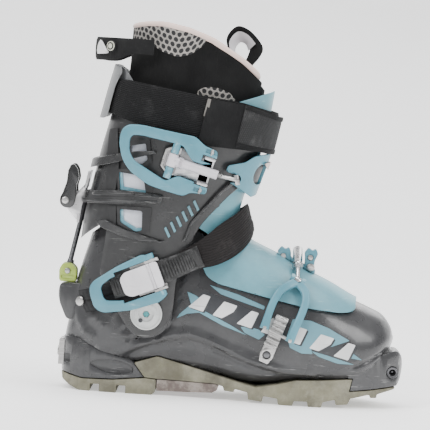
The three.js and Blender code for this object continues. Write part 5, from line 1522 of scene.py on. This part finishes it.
# cuff buckle: lever frame, base with its nut, barrel and hook
def makeCuffBuckle():
    hinge = {"x": -33.5, "z": 198.5, "y": -62.4, "axis": (0.257, 0.967)}
    outline = [
        (-109.7, 218.1), (-109.4, 226), (-107.2, 231.8), (-102.2, 235), (-91, 235.2), (-71.1, 231.9),
        (-44.4, 227.8, 3), (-36, 220.5, 2), (-25, 216.4, 1.6),
        (-25.6, 205.6, 1.6), (-37.2, 204.6, 1.6), (-46.5, 207, 3), (-55, 219.5, 3), (-60.9, 221, 4),
        (-91.9, 226.4, 6), (-99, 226, 3), (-101, 222, 3),
        (-100.8, 212, 5), (-96.4, 204.4, 5), (-79, 194.4, 4), (-68.4, 188.6, 3), (-57.5, 193.5, 3),
        (-42.5, 188.6, 2), (-31.5, 188, 1.4), (-33, 179, 1.6),
        (-46.7, 179.7, 2), (-52.2, 176.4, 3), (-67.8, 179.8, 6), (-84.2, 184.6, 6), (-99.7, 195.3, 8),
        (-106.6, 205.1, 8),
    ]
    lever = pillow("cuffLever", outline, -65.4, -60.4, 4.0, 1.1)
    for side in (-1, 1):
        low, high = sorted((side * 7.4, side * 13.3))
        room = [onHinge(hinge, d, c) for d, c in ((-5.4, low), (-5.4, high), (7.5, high), (7.5, low))]
        cut(lever, sideSolid("earRoom", [(p[0], p[2]) for p in room], -70, -50))
        join(lever, rodSolid("lug", onHinge(hinge, 31, side * 6.2), onHinge(hinge, 31, side * 16), 3.4, 28))
        # pin slot in the arm's face
        slot = [onHinge(hinge, d, c) for d, c in ((-4.4, side * 15.6), (-4.4, side * 19.2), (6, side * 19.2),
            (6, side * 15.6))]
        cut(lever, sideSolid("pinSlot", [(p[0], p[2]) for p in slot], -66.5, -63.8))
    cut(lever, rodSolid("pinHole", onHinge(hinge, 0, -30), onHinge(hinge, 0, 30), 1.9, 20),
        rodSolid("linkHole", onHinge(hinge, 31, -30), onHinge(hinge, 31, 30), 1.9, 20))
    finishPiece(smoothShade(lever, 40), "blue", "cuff_lever", ["cuff_lever"])
    for side in (-1, 1):
        pin = smoothShade(rodSolid("slotPin", onHinge(hinge, 0.8, side * 14.2, -64.4),
            onHinge(hinge, 0.8, side * 19.8, -64.4), 1.2, 20), 30)
        finishPiece(pin, "steel", "cuff_lever")

    plate = hingePlate("buckleBase", hinge, [(-4, -13), (-4, 13), (30, 12.5), (38, 9), (40, 0), (38, -9),
        (30, -12.5)], -57.2, -55.2, 2.5, 0)
    for side in (-1, 1):
        low, high = sorted((side * 9.8, side * 12.6))
        join(plate, hingePlate("ear", hinge, [(-4.5, low), (-4.5, high), (5, high), (5, low)], -65.2, -55.2,
            1.5, 0))
        join(plate, rodSolid("stud", onHinge(hinge, 0, side * 11), onHinge(hinge, 0, side * 18.6), 1.6, 24))
    cut(plate, rodSolid("rivetHole", onHinge(hinge, 28, 0, -70), onHinge(hinge, 28, 0, -50), 3, 24))
    finishPiece(rounded(plate, 0.4, 40, 35), "alloy", "cuff", ["cuff_buckle_base"])
    dark = hingePlate("basePad", hinge, [(22, -14.6), (22, 14.6), (33, 14.2), (41, 9.6), (41, -9.6),
        (33, -14.2)], -55.1, -53.6, 2, 0.3)
    finishPiece(smoothShade(dark, 35), "black", "cuff")
    rim = hingePlate("hexRim", hinge, [(26, -12.6), (26, 12.6), (33, 12.2), (39.4, 7.6), (39.4, -7.6),
        (33, -12.2)], -58.6, -57.15, 1.2, 0)
    cut(rim, hingePlate("hexRoom", hinge, [(20, -10.6), (20, 10.6), (32, 10.2), (37.2, 6.6), (37.2, -6.6),
        (32, -10.2)], -60, -57.6, 1, 0))
    finishPiece(rounded(rim, 0.25, 40, 35), "steel", "cuff")
    nut = domed("baseRivet", onHinge(hinge, 28, 0, -57.6), onHinge(hinge, 28, 0, -58.6), 5.4)
    finishPiece(nut, "steel", "cuff", ["cuff_buckle_rivet"])

    barrel = rodSolid("cuffBarrel", onHinge(hinge, 31, -5.6), onHinge(hinge, 31, 5.6), 4.2, 32)
    join(barrel, rodSolid("tube", onHinge(hinge, 29, 0), onHinge(hinge, -10, 0), 4, 36),
        rodSolid("collar", onHinge(hinge, 25.5, 0), onHinge(hinge, 22, 0), 4.9, 36))
    for k in range(7):
        join(barrel, rodSolid("knurl", onHinge(hinge, 25 - k * 0.5, 0), onHinge(hinge, 24.7 - k * 0.5, 0), 5.1,
            36))
    cut(barrel, rodSolid("hole", onHinge(hinge, 31, -30), onHinge(hinge, 31, 30), 1.9, 20),
        rodSolid("bore", onHinge(hinge, -9, 0), onHinge(hinge, -23, 0), 2.1, 24),
        rodSolid("bore", onHinge(hinge, 3.2, 0), onHinge(hinge, -12, 0), 2.1, 24))
    finishPiece(rounded(barrel, 0.35, 38, 35), "barrel", "cuff_link", ["cuff_barrel"])
    hook = rodSolid("cuffHook", onHinge(hinge, 2), onHinge(hinge, -13), 1.75, 28)
    tip = (-7.2, -58, 192.8)
    join(hook, rodSolid("reach", onHinge(hinge, -12.4), tip, 1.75, 28),
        rodSolid("head", (tip[0] + 0.9, tip[1], tip[2] - 4.2), (tip[0] - 0.9, tip[1], tip[2] + 4.2), 2.2, 28))
    for k in range(4):
        join(hook, rodSolid("thread", onHinge(hinge, -10.4 - k * 0.9), onHinge(hinge, -10.8 - k * 0.9), 2.15,
            28))
    finishPiece(rounded(hook, 0.3, 40, 38), "steel", "cuff_link", ["cuff_hook"])
    nodeMaterial("cuff_link_pin", "steel")

    catch = [(-19.5, 190), (-5.2, 189.6, 0.6), (-3.4, 193, 2), (-5, 196.4, 0.6), (-17, 199.4, 2),
        (-15.6, 204.6, 2), (-1.1, 207.8, 2), (7.1, 213.8, 3), (24, 216.6), (42, 216), (42, 170), (18, 181.6),
        (0.8, 175.8, 3), (-8.6, 180, 4)]
    made = skinPatch("cuffCatch", cuffRows, (4.4, 8), 44, 108, 0.6, 4.6, roundCorners(catch, 2), -90, 8)
    cut(made, drumSolid("drum", bendRoom["cuffLow"]))
    window = [(12.5 + 5.2 * math.cos(a) * math.cos(0.35) + 9.4 * math.sin(a) * math.sin(0.35),
        197.5 + 9.4 * math.sin(a) * math.cos(0.35) - 5.2 * math.cos(a) * math.sin(0.35)) for a in np.linspace(0,
        2 * math.pi, 36, endpoint=False)]
    cut(made, sideSolid("catchWindow", window, -90, 0))
    behind = skinPatch("catchFloor", cuffRows, (4.4, 8), 44, 108, 0.7, 1.5,
        [(6, 186), (4, 200), (12, 210), (22, 210), (21, 185)], -90, 8)
    finishPiece(smoothShade(behind, 38), "black", "cuff")
    pad = skinPatch("catchPad", cuffRows, (4.4, 8), 60, 120, 4.4, 6.8,
        roundCorners([(15.5, 208), (34, 209), (34, 182), (15, 182.5), (19.5, 190), (20.5, 198)], 3), -34, 12)
    finishPiece(rounded(pad, 1.0, 40, 40, 4), "binding", "cuff")
    finishPiece(rounded(made, 0.7, 42, 38, 3), "blue", "cuff", ["cuff_catch"])


looks["barrel"] = mouldedPlastic("barrelEnamel", (0.66, 0.63, 0.67, 1), (0.4, 0.4, 0.4, 1), 0.24, 0.06, 0.3,
    0.4, 0.08, 0.4)
makeCuffBuckle()
print("cuff buckle is made")


# instep ratchet: lever frame, cover, base, ladder and woven strap
def makeRatchet():
    hinge = {"x": -71.0, "z": 107.7, "y": -66.5, "axis": (-0.4, 0.917)}
    outline = [
        (-127.6, 93.9, 4), (-124.4, 99, 4), (-105.3, 112.6, 4), (-84.9, 124, 2.5), (-78.4, 123.9, 1.6),
        (-76, 119.5, 1.4), (-91.8, 111.5, 1), (-110.5, 101.7, 2), (-118.5, 94.5, 4),
        (-113.9, 82.5, 4), (-99.6, 83.4, 3), (-80.8, 88.3, 3), (-62.5, 96.4, 1.4), (-60.2, 91, 1.4),
        (-66.3, 84.4, 4), (-89.6, 75.8, 6), (-115.2, 72, 5), (-122.5, 76, 4), (-126.7, 87, 4),
    ]
    lever = pillow("ratchetLever", outline, -69.6, -64.8, 3, 1.1)
    for side in (-1, 1):
        join(lever, rodSolid("eye", onHinge(hinge, 0, side * 14.5), onHinge(hinge, 0, side * 19), 3.4, 28))
    cut(lever, rodSolid("pinHole", onHinge(hinge, 0, -40), onHinge(hinge, 0, 40), 1.9, 20),
        hingePlate("coverRoom", hinge, [(-10, -14.4), (-10, 14.4), (34, 14), (34, -14)], -80, -50, 0, 0))
    finishPiece(smoothShade(lever, 40), "blue", "ratchet_lever", ["ratchet_lever"])

    cover = hingePlate("ratchetCover", hinge, [(-4.2, -11.4), (-4.2, 11.4), (26, 11), (31, 7), (31, -7),
        (26, -11)], -70.6, -68.4, 3, 0)
    join(cover, rodSolid("coverHinge", onHinge(hinge, 0, -11.2), onHinge(hinge, 0, 11.2), 2.9, 32))
    cut(cover, rodSolid("coverHole", onHinge(hinge, 0, -30), onHinge(hinge, 0, 30), 1.9, 20))
    cut(cover, hingePlate("coverStep", hinge, [(3, -12), (3, 12), (5.2, 12), (5.2, -12)], -72, -70.1, 0, 0))
    finishPiece(rounded(cover, 0.8, 40, 40, 3), "white", "ratchet_pawl", ["ratchet_pawl"])
    for k, across in enumerate((-12.9, 12.9)):
        cap = smoothShade(rodSolid("hingeCap", onHinge(hinge, 0, across - 1.2), onHinge(hinge, 0, across + 1.2),
            2.6, 28), 35)
        finishPiece(cap, "steel", "lower")
    for node, look in (("ratchet_base", "steel"), ("ratchet_pin", "steel")):
        nodeMaterial(node, look)

    # black ladder with cross teeth, from behind the lever to the woven strap
    low = [(-118, 80.2), (-105, 84.4), (-92, 89), (-64.8, 99.5), (-50, 107), (-38, 113.5), (-30, 117)]
    high = [(-124, 97), (-112, 102), (-99, 107.5), (-72.8, 118.5), (-58, 124.5), (-46, 130), (-38, 134.5)]
    rows = [((a[0], -60.7, a[1]), (b[0], -60.7, b[1])) for a, b in zip(low[1:], high[1:])]
    ladder = ribbonSolid("ladderStrap", rows, 1.8, False, 8, 5, edge=0.2)
    finishPiece(smoothShade(ladder, 40), "black", "lower", ["ladder_strap"])
    lowFine, highFine = np.array(smoothLine(low[1:], 200)), np.array(smoothLine(high[1:], 200))
    teeth = None
    for k in range(4, 197, 7):
        a, b = lowFine[k] * 0.88 + highFine[k] * 0.12, lowFine[k] * 0.12 + highFine[k] * 0.88
        ahead = (lowFine[min(k + 3, 200)] - lowFine[max(k - 3, 0)])
        ahead /= np.linalg.norm(ahead)
        corner = [a - ahead * 0.9, a + ahead * 0.9, b + ahead * 0.9, b - ahead * 0.9]
        tooth = sideSolid("tooth", [tuple(p) for p in corner], -63.9 if lowFine[k][0] > -66 else -63.0, -62.0)
        teeth = tooth if teeth is None else join(teeth, tooth)
    finishPiece(rounded(teeth, 0.3, 40, 35), "black", "lower")

    wrap = [(-45, 111, 57.4, -53, 128, 57.4), (-33.7, 114.6, 56.6, -42.5, 134, 56.6),
        (-22, 117.5, 53, -31, 143, 53.5), (-11, 122.5, 45.5, -20, 153, 46), (-1, 129.5, 35, -9, 161, 34),
        (5.5, 137, 21, -1.5, 167, 20), (8, 141.5, 7, 1.5, 170, 6)]
    rows = [((a, -c, b), (d, -f, e)) for a, b, c, d, e, f in wrap] + [((a, c, b), (d, f, e)) for a, b, c, d, e,
        f in wrap[::-1]]
    strapOne = ribbonSolid("instepStrap", rows, 2.4, False, 8, 11, 0.0, 0.3)
    softPiece(strapOne, "strapWeb", ["instep_strap"], body="lower", shade=50)
    # two layers stitched over the strap, each a little shorter
    for k, (start, lift, low_, high_) in enumerate(((0, 1.1, 0.05, 0.72), (1, 1.9, 0.12, 0.5))):
        part = []
        for lowPoint, highPoint in rows[start:8]:
            a, b = np.array(lowPoint, float), np.array(highPoint, float)
            radial = np.array((0.35 * (a[0] + b[0] + 60) / 60, np.sign(a[1]) * max(abs(a[1]) / 40, 0.1), 0.2))
            radial /= np.linalg.norm(radial)
            part.append((tuple(a + (b - a) * low_ + radial * lift), tuple(a + (b - a) * high_ + radial * lift)))
        layer = ribbonSolid(f"strapLayer{k}", part, 2.0, False, 8, 9, 0.0, 0.35)
        softPiece(layer, "strapWeb", body="lower", shade=50)
    rivet = domed("strapRivet", (-46, 60.0, 120), (-46, 61.8, 120), 4.4)
    finishPiece(rivet, "steel", "lower", ["instep_strap_rivet"])

    anchor = [(-134.5, -33.5), (-131.5, -40.5), (-126, -48.5), (-117, -54.2), (-104, -56), (-88, -56),
        (-78, -56)]
    rows = []
    for x, y in anchor:
        z = 79 + (x + 134) * 0.37
        rows.append(((x + 4.4, y, z - 10), (x - 3.4, y, z + 9)))
    band = ribbonSolid("anchorStrap", rows, 2.2, False, 8, 7, 0.0, 0.25)
    finishPiece(smoothShade(band, 45), "anchorWeb", "lower", ["instep_anchor_strap"])
    screw = domed("anchorScrew", (-136.0, -39.8, 78.6), (-137.3, -42.0, 78.6), 4.2)
    finishPiece(screw, "steel", "lower", ["instep_anchor_screw"])


looks["strapWeb"] = webbing("instepWebbing", (0.014, 0.012, 0.012, 1), (0.06, 0.055, 0.053, 1), 1500.0, 5200.0,
    0.00035)
looks["anchorWeb"] = webbing("anchorRubber", (0.014, 0.014, 0.015, 1), (0.06, 0.06, 0.06, 1), 300.0, 900.0,
    0.0008)
makeRatchet()
print("ratchet is made")


def sweep(name, points, width, thickness, out, power=3.0, sides=20):
    # a bar with a rounded section along a line; its back lies on the line and it thickens towards out
    line = np.array(smoothLine(points, (len(points) - 1) * 7))
    wide = np.interp(np.linspace(0, 1, len(line)), np.linspace(0, 1, len(np.atleast_1d(width))),
        np.atleast_1d(width))
    rings = []
    for k, p in enumerate(line):
        ahead = line[min(k + 1, len(line) - 1)] - line[max(k - 1, 0)]
        ahead /= np.linalg.norm(ahead)
        side = np.cross(ahead, out)
        side /= np.linalg.norm(side)
        up = np.cross(side, ahead)
        ring = []
        for j in range(sides):
            a = 2 * math.pi * j / sides
            c, t = math.cos(a), math.sin(a)
            u, v = np.sign(c) * abs(c) ** (2 / power), np.sign(t) * abs(t) ** (2 / power)
            ring.append(p + side * u * wide[k] / 2 + up * (v + 1) / 2 * thickness)
        rings.append(ring)
    return stackRings(name, rings)


# toe buckle: rack, forked lever, threaded link and the yoke with its two knobs
def makeToeBuckle():
    hinge = {"x": 36.4, "z": 62.5, "axis": (0.915, -0.404)}
    form = loft("footForm", footRows, 0, 17.6, 80, 72)
    form.hide_render = True

    def onSide(x, z, lift, side=-1):
        start, way = Vector(toFrame((x, side * 120, z))), Vector((0, -side, 0))
        _, spot, _, _ = form.ray_cast(start, way)
        return np.array((x, spot.y * 1000 - shift[1] + side * lift, z))

    rackLine = [onSide(x, z, 0.9) for x, z in [(39.8, 77), (37, 69), (34, 60), (31, 51.5), (28, 43.5),
        (25.6, 37)]]
    rack = sweep("toeRack", rackLine, [11.5, 11.5, 11.5, 11.5, 11.8, 8.0], 2.4, (0, -1, 0.12), 6.0, 24)
    for k in range(6):
        x, z = 39.2 - k * 1.7, 75.2 - k * 4.6
        foot = onSide(x, z, 2.8)
        join(rack, rodSolid("tooth", foot + (-5.3, 0, 2.2), foot + (5.3, 0, -2.2), 1.55, 20))
    end = onSide(28, 43.5, 0.6)
    join(rack, rodSolid("rackRing", end, onSide(28, 43.5, 3.6), 5.9, 36))
    cut(rack, rodSolid("rackHole", onSide(28, 43.5, -3), onSide(28, 43.5, 8), 3.6, 32))
    finishPiece(rounded(rack, 0.3, 40, 40), "steel", "lower", ["toe_rack"])
    rivet = domed("rackRivet", onSide(28, 43.5, 0.6), onSide(28, 43.5, 2.4), 3.2)
    finishPiece(rivet, "darkSteel", "lower", ["toe_rack_rivet"])

    top = Vector(joints["toe_link_turn"]["pos_m"]) * 1000
    top = np.array(top) - shift
    axis = np.array((hinge["axis"][0], 0, hinge["axis"][1]))
    out = np.array((0, -0.93, 0.37))
    rear = [onSide(x, z, lift) for x, z, lift in [(24.6, 66, 5), (27.5, 78, 5), (31.5, 90, 6.2),
        (36.5, 98.5, 8.4), (43.5, 103.5, 10), (50.5, 106, 10.4)]]
    fore = [onSide(x, z, lift) for x, z, lift in [(47, 56, 5), (51.5, 68, 5), (56, 80, 5.4), (58.8, 91, 8),
        (57.5, 99, 10), (50.5, 106, 10.4)]]
    lever = sweep("toeLever", rear, [8.2, 6.6, 6.6, 7, 7.6, 7.6], 4.6, out, 3.4, 24)
    join(lever, sweep("foreArm", fore, [8.2, 6.6, 6.6, 7, 7.6, 7.6], 4.6, out, 3.4, 24))
    join(lever, rodSolid("leverEye", top - axis * 6.6, top + axis * 6.6, 4.4, 32))
    barrelTop = np.array((49.8, -14, 129.8))
    cut(lever, rodSolid("eyeRoom", top - axis * 3.2, top + axis * 3.2, 6.0, 32),
        rodSolid("linkRoom", top, barrelTop, 4.9, 32))
    cut(lever, rodSolid("leverHole", top - axis * 20, top + axis * 20, 1.7, 20))
    tidyMesh(lever)
    finishPiece(smoothShade(lever, 42), "blue", "toe_lever", ["toe_lever"])
    for spot in (onSide(24.9, 67.4, 9.4), onSide(47.3, 57.4, 9.4)):
        pin = domed("armRivet", spot + (0, 0.7, 0), spot + (0, -0.5, 0), 1.7)
        finishPiece(pin, "steel", "toe_lever")
    nodeMaterial("toe_lever_pin", "steel")

    link = rodSolid("toeLink", top - axis * 2.8, top + axis * 2.8, 3.4, 32)
    join(link, rodSolid("linkPin", top - axis * 6.6, top + axis * 6.6, 1.4, 20),
        rodSolid("linkRod", top, barrelTop, 2.1, 28))
    start = top + (barrelTop - top) * 0.5
    join(link, rodSolid("linkBarrel", start, (49.6, -5.5, 133.4), 4.2, 36))
    join(link, rodSolid("linkCollar", start + (barrelTop - start) * 0.05, start + (barrelTop - start) * 0.2,
        4.9, 36))
    finishPiece(rounded(link, 0.3, 38, 38), "chrome", "toe_link", ["toe_link"])

    plan = [(36, -9), (66, -9), (66, 12), (58, 30), (52, 60), (40, 60), (38, 30), (36, 12)]
    yoke = loft("toeYoke", footRows, 3.5, 8.5, 44, 96, 7.2)
    cut(yoke, loft("yokeIn", footRows, 3.2, 8.8, 44, 96, 4.2))
    keep(yoke, planSolid("yokePlan", roundCorners(plan, 3), 76, 170))
    cut(yoke, blockSolid("yokeLow", (20, -90, 60), (80, 70, 78)))
    finishPiece(rounded(yoke, 0.6, 42, 38), "blue", "lower", ["toe_yoke"])
    for k, (x, lean) in enumerate(((35.4, -1.5), (56.2, 1.5))):
        outline = [(x, 116), (x - 1.4 + lean, 126), (x - 2 + lean, 131), (x + 1.5 + lean, 135.6),
            (x + 5 + lean, 133), (x + 8 + lean, 135), (x + 10 + lean, 130.6), (x + 8.8, 124), (x + 8.5, 112)]
        knob = pillow("knob", outline, -9.4, 5, 1.2, 0.6)
        cut(knob, loft("knobRoom", footRows, 3.2, 8.8, 44, 96, 4.2),
            rodSolid("knobHole", (x + 3.4 + lean, -12, 127), (x + 3.4 + lean, -6.5, 127), 2.9, 28))
        finishPiece(smoothShade(knob, 42), "blue", "lower")
        nut = rodSolid("knobNut", (x + 3.4 + lean, -9.0, 127), (x + 3.4 + lean, -6.4, 127), 2.6, 6)
        finishPiece(rounded(nut, 0.2, 30, 30), "steel", "lower")
        bolt = domed("knobBolt", (x + 4 + lean, -9.5, 118.5), (x + 4 + lean, -12.0, 118.2), 3.6)
        finishPiece(bolt, "steel", "lower")
    nodeMaterial("toe_yoke_rivet", "steel")
    bpy.data.objects.remove(form)


looks["chrome"] = brushedMetal("chromedSteel", (0.85, 0.85, 0.86, 1), 0.16, 0.3)
makeToeBuckle()
print("toe buckle is made")


# pieces that bend between the lower shell and the cuff, and the toe and heel inserts
def makeBends():
    tube = loft("linerAnkle", linerRows, 0, 2, 40, 80, -2.4)
    cut(tube, loft("ankleIn", linerRows, -0.2, 2.2, 40, 80, -8))
    keepOutline = [(-170, 139), (-55, 129), (-22, 121), (10, 140), (20, 165), (20, 230), (-170, 230)]
    keep(tube, sideSolid("ankleKeep", keepOutline, -90, 90), drumSolid("drum", bendRoom["liner"]))
    tidyMesh(tube)
    smoothShade(tube, 45)
    tube.data.materials.append(looks["cloth"])
    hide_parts("liner_ankle")
    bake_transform(tube)

    skin = loft("tongueBellows", cuffRows, 2, 6, 60, 96, -5.8)
    cut(skin, loft("bellowsIn", cuffRows, 1.8, 6.2, 60, 96, -8.2))
    keepOutline = [(-44, 130), (8, 128), (40, 150), (30, 230), (-44, 230)]
    keep(skin, sideSolid("bellowsKeep", keepOutline, -62, 62), drumSolid("drum", bendRoom["bellowsTop"]))
    drum = drumSolid("drum", bendRoom["bellowsFoot"])
    # the side wings reach further down, to the shell's collar
    cut(drum, blockSolid("wings", (-80, -110, 80), (-4, 110, 260)))
    cut(skin, drum, drumSolid("collarRoom", bendRoom["bellowsWings"]))
    tidyMesh(skin)
    smoothShade(skin, 45)
    skin.data.materials.append(looks["tongue"])
    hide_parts("tongue_bellows")
    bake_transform(skin)

    insert = rodSolid("toeInsert", (139, -19.4, 31.6), (139, 24.4, 31.6), 5, 56)
    for side, y in ((-1, -19.4), (1, 24.4)):
        cut(insert, rodSolid("cone", (139, y + side * 0.6, 31.6), (139, y - side * 7.4, 31.6), 3.3, 40, 1))
        cut(insert, rodSolid("ringStep", (139, y + side * 0.4, 31.6), (139, y - side * 0.5, 31.6), 4.2, 40))
    finishPiece(rounded(insert, 0.25, 40, 35), "darkSteel", "lower", ["toe_pin_insert"])
    for node, look in (("heel_pin_insert", "steel"), ("heel_insert_screw", "steel"), ("boot_board", "black")):
        nodeMaterial(node, look)


makeBends()
print("bending pieces and inserts are made")
